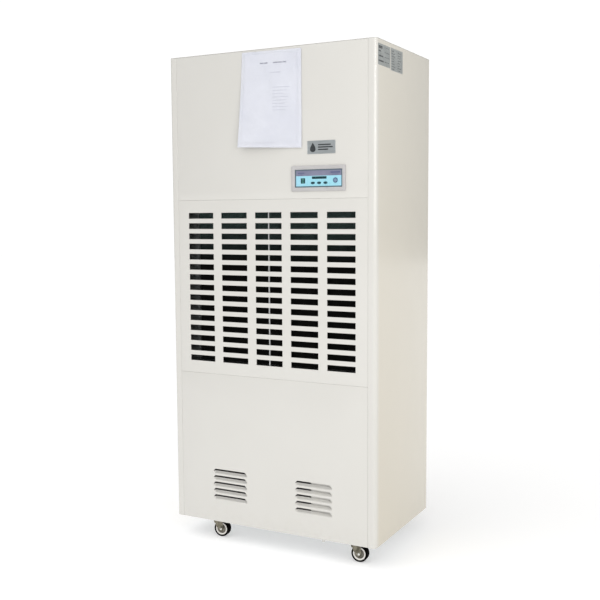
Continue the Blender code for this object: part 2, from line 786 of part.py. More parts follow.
def motor_bracket():
    """A band round the motor with three arms that reach the casing's side."""
    x = (MOTOR_X[0] + 0.045, MOTOR_X[0] + 0.065)
    inner, outer = MOTOR_RADIUS + 0.0006, MOTOR_RADIUS + 0.0036
    band = turned([(inner, x[0]), (outer, x[0]), (outer, x[1]), (inner, x[1])], (0, FAN_Y, FAN_Z), 28, "x")
    reach, foot_x = 0.128, SCROLL_HALF_WIDTH + 0.0002
    bent = [
        (x[0] + 0.001, outer - 0.001),
        (x[1] - 0.001, outer - 0.001),
        (x[1] - 0.001, reach),
        (foot_x, reach),
        (foot_x, reach - 0.003),
        (x[0] + 0.001, reach - 0.003),
    ]
    arms = []
    for angle in (90, 210, 330):
        arm = prism(bent, -0.010, 0.010, "y")
        turn = Matrix.Rotation(math.radians(angle - 90), 4, "X")
        arm.data.transform(Matrix.Translation((0, FAN_Y, FAN_Z)) @ turn)
        arms.append(arm)
    finish(join(band, *arms), "motor_bracket", "galvanised")


# Refrigerant circuit


def accumulator():
    """The suction accumulator beside the compressor and the elbow brazed between them."""
    x, y = ACCUMULATOR_XY
    r, low, high = ACCUMULATOR_RADIUS, 0.160, 0.350
    body = turned(
        [
            (0, low),
            (0.010, low),
            (r, low + 0.022),
            (r, high - 0.022),
            (0.010, high),
            (0.010, high + 0.010),
            (0, high + 0.010),
        ],
        (x, y, 0),
        16,
    )
    shell_x = COMPRESSOR_XY[0] + COMPRESSOR_RADIUS - 0.004
    corners = [Vector((x, y, low + 0.003)), Vector((x, y, 0.138)), Vector((shell_x, y, 0.148))]
    return join(body, tube(filleted(corners, 0.012), 0.0075, 10))


def compressor():
    x, y = COMPRESSOR_XY
    low, high = COMPRESSOR_Z
    r = COMPRESSOR_RADIUS
    shell = turned(
        [
            (0, low),
            (r * 0.62, low + 0.004),
            (r * 0.90, low + 0.018),
            (r, low + 0.040),
            (r, high - 0.045),
            (r * 0.93, high - 0.024),
            (r * 0.62, high - 0.006),
            (0.010, high),
            (0.010, high + 0.012),
            (0, high + 0.012),
        ],
        (x, y, 0),
        24,
    )
    feet = []
    for angle in (90, 210, 330):
        arm = rounded_block((0.020, 0.115), (-0.018, 0.018), (low - 0.002, low + 0.003), 0.010)
        arm.data.transform(Matrix.Translation((x, y, 0)) @ Matrix.Rotation(math.radians(angle), 4, "Z"))
        feet.append(arm)
    finish(join(shell, accumulator(), *feet), "compressor", "black_paint")


def compressor_grommets():
    x, y = COMPRESSOR_XY
    low, high = BOTTOM + 0.002 + GAP, COMPRESSOR_Z[0] - 0.002 - GAP
    for number, angle in enumerate((90, 210, 330), 1):
        cx = x + 0.098 * math.cos(math.radians(angle))
        cy = y + 0.098 * math.sin(math.radians(angle))
        middle = (low + high) / 2
        profile = [(0, low), (0.014, low), (0.010, middle), (0.014, high), (0, high)]
        finish(turned(profile, (cx, cy, 0), 16), f"compressor_grommet_{number}", "rubber")


def pipes():
    """The copper lines between the compressor, the coils and the drier."""
    evaporator_y = sum(EVAPORATOR_Y) / 2
    condenser_y = sum(CONDENSER_Y) / 2
    bottom_z = FIRST_TUBE_Z
    top_z = FIRST_TUBE_Z + (TUBE_ROWS - 1) * TUBE_PITCH
    stub = -0.318 - GAP
    ax, ay = ACCUMULATOR_XY
    cx, cy = COMPRESSOR_XY
    near_x, liquid_y, capillary_y = PIPE_X + 0.008, condenser_y - 0.016, condenser_y - 0.037
    drier_z = 0.300
    routes = {
        "suction_pipe": (
            (0.0080, 0.020),
            [
                (stub, evaporator_y, top_z),
                (PIPE_X, evaporator_y, top_z),
                (PIPE_X, evaporator_y, 0.540),
                (ax, evaporator_y, 0.540),
                (ax, ay, 0.540),
                (ax, ay, 0.3604),
            ],
        ),
        "discharge_pipe": (
            (0.0060, 0.015),
            [
                (cx, cy, COMPRESSOR_Z[1] + 0.0124),
                (cx, cy, 0.480),
                (PIPE_X, cy, 0.480),
                (PIPE_X, condenser_y, 0.480),
                (PIPE_X, condenser_y, top_z),
                (stub, condenser_y, top_z),
            ],
        ),
        "liquid_line": (
            (0.0045, 0.009),
            [
                (stub, condenser_y, bottom_z),
                (near_x + 0.014, condenser_y, bottom_z),
                (near_x, liquid_y, bottom_z),
                (near_x, liquid_y, drier_z + 0.0654),
            ],
        ),
        "capillary_tube": (
            (0.0020, 0.008),
            [
                (near_x, liquid_y, drier_z - 0.0654),
                (near_x, liquid_y, 0.190),
                (near_x, capillary_y, 0.190),
                (near_x, capillary_y, bottom_z),
                (near_x + 0.011, evaporator_y, bottom_z),
                (stub, evaporator_y, bottom_z),
            ],
        ),
    }
    for name, ((radius, bend), points) in routes.items():
        finish(tube(filleted([Vector(p) for p in points], bend), radius, 8), name, "copper")
    drier = turned(
        [
            (0, -0.065),
            (0.005, -0.065),
            (0.006, -0.058),
            (0.015, -0.046),
            (0.015, 0.046),
            (0.006, 0.058),
            (0.005, 0.065),
            (0, 0.065),
        ],
        (near_x, liquid_y, drier_z),
        16,
    )
    finish(drier, "filter_drier", "copper")


# Electrical parts


def electrical_box():
    wall = 0.0015
    shell = block(BOX_X, BOX_Y, BOX_Z)
    inner = block(
        (BOX_X[0] + wall, BOX_X[1] - wall),
        (BOX_Y[0] - 0.01, BOX_Y[1] - wall),
        (BOX_Z[0] + wall, BOX_Z[1] - wall),
    )
    finish(cut(shell, inner), "electrical_box", "cream_paint")
    lid_y = (BOX_Y[0] - GAP - wall, BOX_Y[0] - GAP)
    lid = block(BOX_X, lid_y, BOX_Z)
    x = (BOX_X[0] + LID_MARGIN, BOX_X[1] - LID_MARGIN)
    z = (BOX_Z[0] + 4 * LID_MARGIN, BOX_Z[1] - LID_MARGIN)
    raised = block(x, (LID_FRONT, lid_y[0] + wall / 2), z)
    hollow = block(
        (x[0] + wall, x[1] - wall),
        (LID_FRONT + wall, lid_y[1] + 0.01),
        (z[0] + wall, z[1] - wall),
    )
    finish(cut(join(lid, raised), hollow), "electrical_box_lid", "cream_paint")


def electrical_parts():
    back = BOX_Y[1] - 0.0015 - GAP
    x = BOX_X[0]
    base = block((x + 0.020, x + 0.075), (back - 0.045, back), (0.300, 0.380))
    head = block((x + 0.026, x + 0.069), (back - 0.078, back - 0.044), (0.312, 0.368))
    finish(join(base, head), "contactor", "black_plastic")
    can = turned(
        [(0, 0.290), (0.024, 0.290), (0.025, 0.293), (0.025, 0.395), (0.023, 0.398), (0, 0.398)],
        (x + 0.130, back - 0.0265, 0),
        20,
    )
    finish(can, "run_capacitor", "aluminium")
    rail = block((x + 0.020, x + 0.170), (back - 0.012, back), (0.180, 0.215))
    teeth = [
        block((x + 0.026 + i * 0.0145, x + 0.038 + i * 0.0145), (back - 0.040, back - 0.011), (0.176, 0.219))
        for i in range(10)
    ]
    finish(join(rail, gathered(teeth)), "terminal_block", "grey_plastic")


def cable_gland():
    """The mains inlet: a lock nut inside, a hexagon and a domed nut outside, with an open bore."""
    y0 = REAR - SHEET - GAP
    body = turned(
        [
            (0.0055, -0.010),
            (0.0100, -0.010),
            (0.0100, -0.006),
            (0.0150, -0.006),
            (0.0150, 0.000),
            (0.0102, 0.000),
            (0.0102, SHEET + 2 * GAP),
            (0.0155, SHEET + 2 * GAP),
            (0.0155, 0.008),
            (0.0125, 0.009),
            (0.0125, 0.019),
            (0.0080, 0.025),
            (0.0055, 0.025),
        ],
        (0, 0, 0),
        16,
    )
    body.data.transform(Matrix.Translation((GLAND_X, y0, GLAND_Z)) @ Matrix.Rotation(-math.pi / 2, 4, "X"))
    finish(body, "cable_gland", "black_plastic")


# Control panel, badge and pouch


def around(x_half, z_half, y):
    return block((CONTROL_X - x_half, CONTROL_X + x_half), y, (CONTROL_Z - z_half, CONTROL_Z + z_half))


def control_bezel():
    flange = rounded_block(
        (CONTROL_X - BEZEL_HALF[0], CONTROL_X + BEZEL_HALF[0]),
        (FRONT - BEZEL_PROUD, FRONT - GAP),
        (CONTROL_Z - BEZEL_HALF[1], CONTROL_Z + BEZEL_HALF[1]),
        0.003,
        3,
        "y",
    )
    collar = around(*BEZEL_COLLAR_HALF, (FRONT - 0.001, FRONT + 0.010))
    pocket_half = [half - 0.0018 for half in BEZEL_COLLAR_HALF]
    pocket = around(*pocket_half, (FRONT - 0.0003, FRONT + 0.02))
    window = around(*BEZEL_WINDOW_HALF, (FRONT - 0.02, FRONT + 0.02))
    finish(cut(join(flange, collar), pocket, window), "control_bezel", "grey_plastic")


def key_outline(centre, radii, extra=0.0):
    return circle(centre, (radii[0] + extra, radii[1] + extra), 20)


def control_parts():
    overlay = around(*OVERLAY_HALF, OVERLAY_Y)
    holes = [
        prism(key_outline((x, KEY_Z), KEY_RADII, KEY_CLEARANCE), FRONT - 0.01, FRONT + 0.01, "y")
        for x in KEY_XS
    ]
    holes.append(
        prism(key_outline(POWER_KEY_XZ, POWER_KEY_RADII, KEY_CLEARANCE), FRONT - 0.01, FRONT + 0.01, "y")
    )
    holes.append(block(DISPLAY_X, (FRONT - 0.01, FRONT + 0.01), DISPLAY_Z))
    finish(cut(overlay, gathered(holes)), "control_overlay", "blue_overlay")
    edge = 0.0003
    display = block(
        (DISPLAY_X[0] + edge, DISPLAY_X[1] - edge),
        (OVERLAY_Y[0] + 0.0002, FRONT + 0.0070),
        (DISPLAY_Z[0] + edge, DISPLAY_Z[1] - edge),
    )
    finish(display, "display_window", "display_glass")
    finish(around(0.080, 0.027, (FRONT + 0.0075, FRONT + 0.0091)), "control_board", "board_green")
    names = ("mode_key", "down_key", "up_key")
    for name, x in zip(names, KEY_XS):
        key = prism(key_outline((x, KEY_Z), KEY_RADII), *KEY_Y, "y")
        finish(key, name, "display_glass")
        set_origin(key, (x, KEY_Y[0], KEY_Z))
    power = prism(key_outline(POWER_KEY_XZ, POWER_KEY_RADII), *KEY_Y, "y")
    finish(power, "power_key", "blue_overlay")
    set_origin(power, (POWER_KEY_XZ[0], KEY_Y[0], POWER_KEY_XZ[1]))


def badge_plate():
    plate = rounded_block(BADGE_X, (FRONT - GAP - BADGE_THICKNESS, FRONT - GAP), BADGE_Z, 0.002, 2, "y")
    finish(plate, "badge_plate", "badge_silver")


def pouch_lift(across, down):
    """How far the pouch hangs off the panel: most at its lower left corner."""
    return 0.0012 + POUCH_LIFT * (down**2) * (1 - 0.85 * across) ** 1.5


def document_pouch():
    """A plastic sleeve with the papers in it, taped along its top edge, as one curved slab."""
    columns, rows = 6, 6
    bm = bmesh.new()
    layers = []
    for thickness in (0.0, POUCH_THICKNESS):
        grid = []
        for j in range(rows + 1):
            line = []
            for i in range(columns + 1):
                across, down = i / columns, j / rows
                left = POUCH_X[0] - POUCH_LEAN * down
                x = left + (POUCH_X[1] - left) * across
                z = POUCH_Z[1] - (POUCH_Z[1] - POUCH_Z[0]) * down
                y = FRONT - GAP - pouch_lift(across, down) - thickness
                line.append(bm.verts.new((x, y, z)))
            grid.append(line)
        layers.append(grid)
    for grid in layers:
        for j in range(rows):
            for i in range(columns):
                bm.faces.new((grid[j][i], grid[j][i + 1], grid[j + 1][i + 1], grid[j + 1][i]))
    rim = [(j, 0) for j in range(rows)] + [(rows, i) for i in range(columns)]
    rim += [(j, columns) for j in range(rows, 0, -1)] + [(0, i) for i in range(columns, 0, -1)]
    for (j, i), (m, n) in zip(rim, rim[1:] + rim[:1]):
        bm.faces.new((layers[0][j][i], layers[0][m][n], layers[1][m][n], layers[1][j][i]))
    finish(solid(bm), "document_pouch", "clear_sleeve")


# Casters, each built at the origin with its trail along +X and its axle along Y


def caster_plate():
    plate_z = (BOTTOM - 0.0028, BOTTOM - 0.0003)
    plate = rounded_block((-0.028, 0.028), (-0.022, 0.022), plate_z, 0.004, 2)
    race = turned(
        [
            (0, CROWN_Z[0] - 0.0030),
            (0.0070, CROWN_Z[0] - 0.0030),
            (0.0070, CROWN_Z[0] - GAP),
            (0.0046, CROWN_Z[0] - GAP),
            (0.0046, CROWN_Z[1] + 0.0006),
            (0.0165, CROWN_Z[1] + 0.0006),
            (0.0182, 0.0655),
            (0.0165, BOTTOM - 0.0025),
            (0, BOTTOM - 0.0025),
        ],
        (0, 0, 0),
        16,
    )
    return join(plate, race)


def caster_fork():
    """A crown that reaches over the wheel, two legs that taper to the axle, and the riveted axle."""
    outer = FORK_INNER_HALF + FORK_SHEET
    front = TRAIL + 0.006
    outline = arc((0.0, 0.0), 0.0185, 57, 303, 15) + [(front, -outer), (front, outer)]
    crown = cut(prism(outline, *CROWN_Z), cylinder((0, 0), 0.0052, 0.04, 0.07, "z", 20))
    legs = []
    for s in (1, -1):
        outline = [(0.004, CROWN_Z[1] - 0.0003), (0.009, 0.046)]
        outline += arc((TRAIL, AXLE_Z), 0.0088, 205, 385, 8)
        outline += [(TRAIL + 0.0075, 0.042), (front - 0.0003, CROWN_Z[1] - 0.0003)]
        y = [s * FORK_INNER_HALF, s * (outer - 0.0002)][::s]
        legs.append(prism(outline, *y, "y"))
    axle = cylinder((TRAIL, AXLE_Z), AXLE_RADIUS, -outer - 0.001, outer + 0.001, "y", 16)
    heads = [
        cylinder((TRAIL, AXLE_Z), 0.0062, *[s * (outer - 0.0004), s * (outer + 0.0022)][::s], "y", 16)
        for s in (1, -1)
    ]
    return join(crown, *legs, axle, *heads)


def caster_wheel():
    """The tread bonded to its core, with a shallow dish on each side and a bore for the axle."""
    r, half = CASTER_WHEEL_RADIUS, CASTER_WHEEL_HALF
    profile = [
        (AXLE_BORE_RADIUS, -half),
        (0.0085, -half),
        (0.0165, -half + 0.003),
        (0.0180, -half + 0.001),
        (0.0225, -half + 0.001),
        (r - 0.0045, -half),
        (r, -half + 0.0050),
    ]
    profile += [(a, -b) for a, b in reversed(profile)]
    wheel = turned(profile, (0, 0, 0), CASTER_SIDES)
    turn = Matrix.Rotation(math.pi / 2, 4, "X")
    wheel.data.transform(Matrix.Translation((TRAIL, 0, AXLE_Z)) @ turn)
    return wheel


def casters():
    for place, (x, y, degrees) in CASTERS.items():
        plate = finish(caster_plate(), f"caster_plate_{place}", "zinc_steel")
        plate.location = (x, y, 0)
        fork = finish(caster_fork(), f"caster_fork_{place}", "zinc_steel")
        fork.location = (x, y, 0)
        fork.rotation_euler = (0, 0, math.radians(degrees))
        wheel = finish(caster_wheel(), f"caster_wheel_{place}", "rubber")
        wheel.data.transform(Matrix.Translation((-TRAIL, 0, -AXLE_Z)))
        wheel.parent = fork
        wheel.location = (TRAIL, 0, AXLE_Z)


def build():
    clear_scene()
    side_panel("right_side_panel", 1)
    side_panel("left_side_panel", -1)
    base_pan()
    rear_panel()
    top_cover()
    outlet_grille()
    upper_front_panel()
    intake_grille_panel()
    lower_front_panel()
    mid_shelf()
    fan_deck()
    filter_frame()
    filter_mesh()
    coil("evaporator", EVAPORATOR_Y, (EVAPORATOR_Y[0] - 0.0065, EVAPORATOR_Y[0] - 0.005))
    coil("condenser", CONDENSER_Y, (CONDENSER_Y[1] + 0.005, CONDENSER_Y[1] + 0.0065))
    drain_pan()
    drain_hose()
    drain_spout()
    scroll_housing()
    impeller()
    fan_shaft()
    fan_motor()
    motor_bracket()
    compressor()
    compressor_grommets()
    pipes()
    electrical_box()
    electrical_parts()
    cable_gland()
    control_bezel()
    control_parts()
    badge_plate()
    document_pouch()
    casters()


build()
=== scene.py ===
"""The looks of the cabinet dehumidifier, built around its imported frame.

Metres, +Z up, the front towards -Y. Each visible CAD sheet or moulding is either given a better
material or replaced by a finer mesh in the same place. Most places come from the CAD node's own box.
"""

import json
import math
import random

import bmesh
import bpy
from mathutils import Matrix, Vector


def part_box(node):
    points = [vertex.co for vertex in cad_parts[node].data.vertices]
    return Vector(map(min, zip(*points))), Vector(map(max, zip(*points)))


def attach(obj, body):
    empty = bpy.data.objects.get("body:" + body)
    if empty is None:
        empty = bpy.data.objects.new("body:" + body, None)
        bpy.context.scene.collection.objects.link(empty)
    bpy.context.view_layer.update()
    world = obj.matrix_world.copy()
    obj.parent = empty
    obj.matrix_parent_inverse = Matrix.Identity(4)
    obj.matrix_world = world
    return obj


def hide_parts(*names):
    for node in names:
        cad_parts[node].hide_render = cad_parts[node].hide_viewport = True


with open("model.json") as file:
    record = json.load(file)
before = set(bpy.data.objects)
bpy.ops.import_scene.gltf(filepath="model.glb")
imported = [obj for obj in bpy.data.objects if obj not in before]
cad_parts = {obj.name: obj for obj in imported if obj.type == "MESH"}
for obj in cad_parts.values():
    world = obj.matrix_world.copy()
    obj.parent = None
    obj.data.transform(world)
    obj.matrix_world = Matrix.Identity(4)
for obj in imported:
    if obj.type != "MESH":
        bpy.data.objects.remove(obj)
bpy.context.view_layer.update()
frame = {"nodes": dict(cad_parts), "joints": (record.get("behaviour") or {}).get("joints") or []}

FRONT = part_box("upper_front_panel")[0].y
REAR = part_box("rear_panel")[1].y
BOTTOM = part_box("left_side_panel")[0].z
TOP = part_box("top_cover")[1].z
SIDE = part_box("right_side_panel")[1].x
STEEL = 0.0014
FRONT_STEEL = 0.0009
SEAM = 0.0003

STRIP_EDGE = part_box("upper_front_panel")[1].x + 0.0006

SLOT_PITCH_X, SLOT_PITCH_Z = 0.1325, 0.0351
SLOT_HALF_X, SLOT_HALF_Z = 0.050, 0.0099

LOUVRE_X, LOUVRE_HALF_X = 0.1615, 0.068
LOUVRE_TOP, LOUVRE_HEIGHT, LOUVRE_PITCH = 0.1875, 0.017, 0.0228
LOUVRE_CORNER = 0.0085

FIN_X, FIN_Z = 0.3000, (0.635, 1.170)
FIN_PITCH, FIN_HALF = 0.0024, 0.0002
TUBE_ROWS, TUBE_PITCH, TUBE_FIRST, TUBE_RADIUS = 10, 0.054, 0.659, 0.005
FEED_END = -0.318

POUCH_LEFT, POUCH_RIGHT, POUCH_LEAN, POUCH_LIFT = -0.0925, 0.127, 0.012, 0.016
PRINT_LEVEL, PRINT_THICKNESS = 0.00206, 0.00006

CROWN = (0.0592, 0.0614)

CAMERA_PLACE = (1.4953, -2.8422, 1.1328)
CAMERA_YAW, CAMERA_PITCH, CAMERA_ROLL = 27.87, -5.23, -0.34
CAMERA_LENS = 54.58

random.seed(7)


# Materials


class Shader:
    """A node material being built, with the object's own coordinates at hand."""

    def __init__(self, name):
        self.material = bpy.data.materials.new(name)
        self.material.use_nodes = True
        self.nodes = self.material.node_tree.nodes
        self.links = self.material.node_tree.links
        self.principled = self.nodes["Principled BSDF"]
        self.coordinates = self.nodes.new("ShaderNodeTexCoord").outputs["Object"]

    def put(self, socket, value):
        if isinstance(value, bpy.types.NodeSocket):
            self.links.new(value, socket)
        elif isinstance(value, tuple) and len(value) == 3 and socket.type == "RGBA":
            socket.default_value = (*value, 1.0)
        else:
            socket.default_value = value

    def fill(self, node, **inputs):
        """Sets or links a node's inputs; an underscore in a name stands for a space."""
        for name, value in inputs.items():
            self.put(node.inputs[name.replace("_", " ")], value)
        return node

    def add(self, kind, **inputs):
        return self.fill(self.nodes.new("ShaderNode" + kind), **inputs)

    def noise(self, scale, detail=4.0, roughness=0.55, stretch=None):
        place = self.coordinates
        if stretch:
            place = self.add("Mapping", Vector=place, Scale=stretch).outputs["Vector"]
        node = self.add("TexNoise", Vector=place, Scale=scale, Detail=detail, Roughness=roughness)
        return node.outputs["Fac"]

    def cells(self, scale):
        return self.add("TexVoronoi", Vector=self.coordinates, Scale=scale)

    def ramp(self, value, low, high, start=0.0, end=1.0):
        node = self.add("MapRange", Value=value, From_Min=low, From_Max=high, To_Min=start, To_Max=end)
        return node.outputs["Result"]

    def maths(self, operation, *values):
        node = self.add("Math")
        node.operation = operation
        for socket, value in zip(node.inputs, values):
            self.put(socket, value)
        return node.outputs["Value"]

    def mix(self, factor, first, second):
        node = self.add("Mix", Factor=factor)
        node.data_type = "RGBA"
        self.put(node.inputs[6], first)
        self.put(node.inputs[7], second)
        return node.outputs[2]

    def axes(self):
        return self.add("SeparateXYZ", Vector=self.coordinates).outputs

    def rectangle(self, x, z):
        """1 inside the rectangle between the two x and the two z values, seen along Y."""
        axes = self.axes()
        across = self.maths("COMPARE", axes["X"], (x[0] + x[1]) / 2, (x[1] - x[0]) / 2)
        up = self.maths("COMPARE", axes["Z"], (z[0] + z[1]) / 2, (z[1] - z[0]) / 2)
        return self.maths("MULTIPLY", across, up)

    def rounded_normal(self, radius):
        node = self.add("Bevel", Radius=radius)
        node.samples = 4
        return node.outputs["Normal"]

    def edges(self, radius):
        """1 on edges sharper than the radius, fading to 0 on flat ground."""
        dot = self.add("VectorMath")
        dot.operation = "DOT_PRODUCT"
        self.put(dot.inputs[0], self.rounded_normal(radius))
        self.put(dot.inputs[1], self.add("NewGeometry").outputs["Normal"])
        return self.ramp(dot.outputs["Value"], 0.90, 0.995, 1.0, 0.0)

    def bump(self, height, distance, strength=1.0, round_edges=0.0):
        node = self.add("Bump", Height=height, Distance=distance, Strength=strength)
        if round_edges:
            self.fill(node, Normal=self.rounded_normal(round_edges))
        self.fill(self.principled, Normal=node.outputs["Normal"])

    def finish(self, colour, roughness, metallic=0.0, **fixed):
        self.fill(self.principled, Base_Color=colour, Roughness=roughness, Metallic=metallic, **fixed)
        return self.material


def surface(name, light, dark, roughness, metallic=0.0, patch=8.0, grain=600.0, relief=0.00003,
            stretch=None, worn=None, round_edges=0.0, **fixed):
    """A general finish: two close colours in patches, uneven gloss, fine relief, worn edges if asked."""
    s = Shader(name)
    colour = s.mix(s.ramp(s.noise(patch, stretch=stretch), 0.35, 0.65), light, dark)
    if worn:
        chance = s.ramp(s.noise(patch * 12), 0.42, 0.62)
        colour = s.mix(s.maths("MULTIPLY", s.edges(0.0008), chance), colour, worn)
    gloss = s.ramp(s.noise(patch * 2.3, stretch=stretch), 0.3, 0.7, *roughness)
    s.bump(s.noise(grain, 2.0, stretch=stretch), relief, 1.0, round_edges)
    return s.finish(colour, gloss, metallic, **fixed)


def cabinet_paint(name, round_edges=0.0, painted_side_reflection=False):
    """Glossy off-white powder coat: faint orange peel, slow waviness, handling marks low down.

    On the side sheets a painted reflection of a warm room is mixed in behind the front fold, darker and
    warmer low down.
    """
    s = Shader(name)
    tone = s.mix(s.ramp(s.noise(2.2, 3.0), 0.35, 0.65), (0.695, 0.682, 0.645), (0.678, 0.664, 0.626))
    # Painted reflection and shade: behind the front fold the sides turn warmer, and darker low down, for
    # the room they reflect.
    if painted_side_reflection:
        reflection_behind_fold = s.ramp(s.axes()["Y"], FRONT + 0.006, FRONT + 0.030)
        reflection_low_down = s.ramp(s.axes()["Z"], BOTTOM, BOTTOM + 1.50)
        reflected_side_tone = s.mix(reflection_low_down, (0.620, 0.572, 0.472), (0.690, 0.660, 0.585))
        tone = s.mix(reflection_behind_fold, tone, reflected_side_tone)
    height = s.axes()["Z"]
    low_down = s.ramp(height, BOTTOM, BOTTOM + 0.08, 0.14, 0.0)
    dust = s.maths("MULTIPLY", low_down, s.ramp(s.noise(38.0, 6.0, 0.65), 0.45, 0.75))
    tone = s.mix(dust, tone, (0.50, 0.46, 0.38))
    speck = s.ramp(s.cells(55.0).outputs["Distance"], 0.03, 0.045, 0.30, 0.0)
    tone = s.mix(s.maths("MULTIPLY", speck, s.ramp(s.noise(9.0), 0.55, 0.62)), tone, (0.60, 0.57, 0.50))
    tone = s.mix(s.maths("MULTIPLY", s.edges(0.0006), 0.25), tone, (0.62, 0.60, 0.54))
    smudge = s.ramp(s.noise(6.5, 5.0, 0.6), 0.35, 0.70, 0.17, 0.27)
    peel = s.maths("ADD", s.noise(420.0, 2.0), s.maths("MULTIPLY", s.noise(7.0, 1.0), 14.0))
    s.bump(peel, 0.00003, 0.8, round_edges)
    return s.finish(tone, smudge, 0.0, Coat_Weight=0.35, Coat_Roughness=0.09)


def galvanised(name):
    s = Shader(name)
    cell = s.cells(95.0)
    spangle = s.ramp(cell.outputs["Color"], 0.0, 1.0)
    colour = s.mix(spangle, (0.50, 0.52, 0.53), (0.64, 0.66, 0.66))
    colour = s.mix(s.ramp(s.noise(14.0, 6.0), 0.55, 0.75, 0.0, 0.5), colour, (0.42, 0.42, 0.40))
    gloss = s.ramp(spangle, 0.0, 1.0, 0.34, 0.50)
    s.bump(s.noise(500.0), 0.00002, 1.0, 0.0005)
    return s.finish(colour, gloss, 0.85)


def fins_with_painted_light(name):
    """Coated fin aluminium with painted light and shade: blue-green near the top, where light falls in,
    and a painted near-black brown shade lower down.
    """
    s = Shader(name)
    painted_lit_teal = s.mix(s.ramp(s.noise(22.0, 5.0), 0.35, 0.7), (0.320, 0.500, 0.470), (0.240, 0.380, 0.360))
    painted_shade_brown = s.mix(s.ramp(s.noise(22.0, 5.0), 0.35, 0.7), (0.010, 0.0075, 0.005), (0.006, 0.0045, 0.0035))
    # Painted light and shade: the fins are lit blue-green up high and painted near-black brown lower
    # down.
    colour = s.mix(s.ramp(s.axes()["Z"], 0.98, 1.16), painted_shade_brown, painted_lit_teal)
    s.bump(s.noise(180.0, 3.0, stretch=(1.0, 1.0, 6.0)), 0.00010)
    return s.finish(colour, s.ramp(s.noise(30.0), 0.3, 0.7, 0.50, 0.66), Specular_IOR_Level=0.15)


def control_film(name):
    """The printed film of the control panel: a slate band over a cyan field in a dark border."""
    s = Shader(name)
    field = s.mix(s.ramp(s.noise(60.0, 2.0), 0.35, 0.65), (0.310, 0.665, 0.785), (0.345, 0.690, 0.805))
    near_ends = s.maths("ABSOLUTE", s.maths("SUBTRACT", s.axes()["X"], CONTROL[0]))
    field = s.mix(s.ramp(near_ends, 0.050, 0.085, 0.0, 0.35), field, (0.42, 0.68, 0.90))
    slate = s.mix(s.ramp(s.noise(45.0, 3.0), 0.4, 0.6), (0.222, 0.226, 0.318), (0.190, 0.196, 0.286))
    x0, x1 = CONTROL[0] - 0.0845, CONTROL[0] + 0.0845
    z0, z1 = CONTROL[1] - 0.0285, CONTROL[1] + 0.0285
    band_low = CONTROL[1] + 0.0080
    colour = s.mix(s.rectangle((x0, x1), (band_low, z1)), field, slate)
    dark_blue, rule_blue = (0.075, 0.095, 0.20), (0.16, 0.50, 0.62)
    prints = (
        (x0 + 0.010, x0 + 0.034, z1 - 0.0125, z1 - 0.0100, dark_blue),
        (x0 + 0.010, x0 + 0.027, z1 - 0.0175, z1 - 0.0158, dark_blue),
        (x1 - 0.042, x1 - 0.008, z1 - 0.0125, z1 - 0.0085, dark_blue),
        (x1 - 0.038, x1 - 0.014, z1 - 0.0175, z1 - 0.0160, dark_blue),
        (CONTROL[0] - 0.0405, CONTROL[0] - 0.0400, z0 + 0.006, band_low - 0.003, rule_blue),
        (CONTROL[0] + 0.0405, CONTROL[0] + 0.0410, z0 + 0.006, band_low - 0.003, rule_blue),
    )
    for left, right, low, high, ink in prints:
        colour = s.mix(s.rectangle((left, right), (low, high)), colour, ink)
    edge = 0.0040
    inner = s.rectangle((x0 + edge, x1 - edge), (z0 + edge, z1 - edge * 0.8))
    colour = s.mix(inner, (0.085, 0.135, 0.165), colour)
    s.bump(s.noise(1400.0, 1.0), 0.00001)
    return s.finish(colour, s.ramp(s.noise(50.0), 0.3, 0.7, 0.30, 0.42), 0.0, Coat_Weight=0.2)


def brushed_badge(name):
    s = Shader(name)
    brush = s.noise(900.0, 3.0, stretch=(0.03, 1.0, 1.0))
    colour = s.mix(s.ramp(brush, 0.3, 0.7), (0.47, 0.50, 0.51), (0.36, 0.39, 0.40))
    s.bump(brush, 0.00002)
    return s.finish(colour, s.ramp(s.noise(40.0), 0.3, 0.7, 0.32, 0.44), 0.75)


def clear_film(name, cover):
    """Limp clear plastic: a bluish haze that lets the paper show, with shiny creases."""
    s = Shader(name)
    colour = s.mix(s.ramp(s.noise(9.0), 0.35, 0.65), (0.88, 0.89, 0.94), (0.83, 0.845, 0.91))
    crease = s.noise(16.0, 5.0, 0.6, stretch=(1.6, 1.0, 0.45))
    s.bump(crease, 0.0016, 0.8)
    material = s.finish(colour, s.ramp(crease, 0.3, 0.7, 0.10, 0.24), 0.0, IOR=1.46)
    s.fill(s.principled, Alpha=s.ramp(s.noise(7.0), 0.3, 0.7, cover, cover + 0.14))
    return material


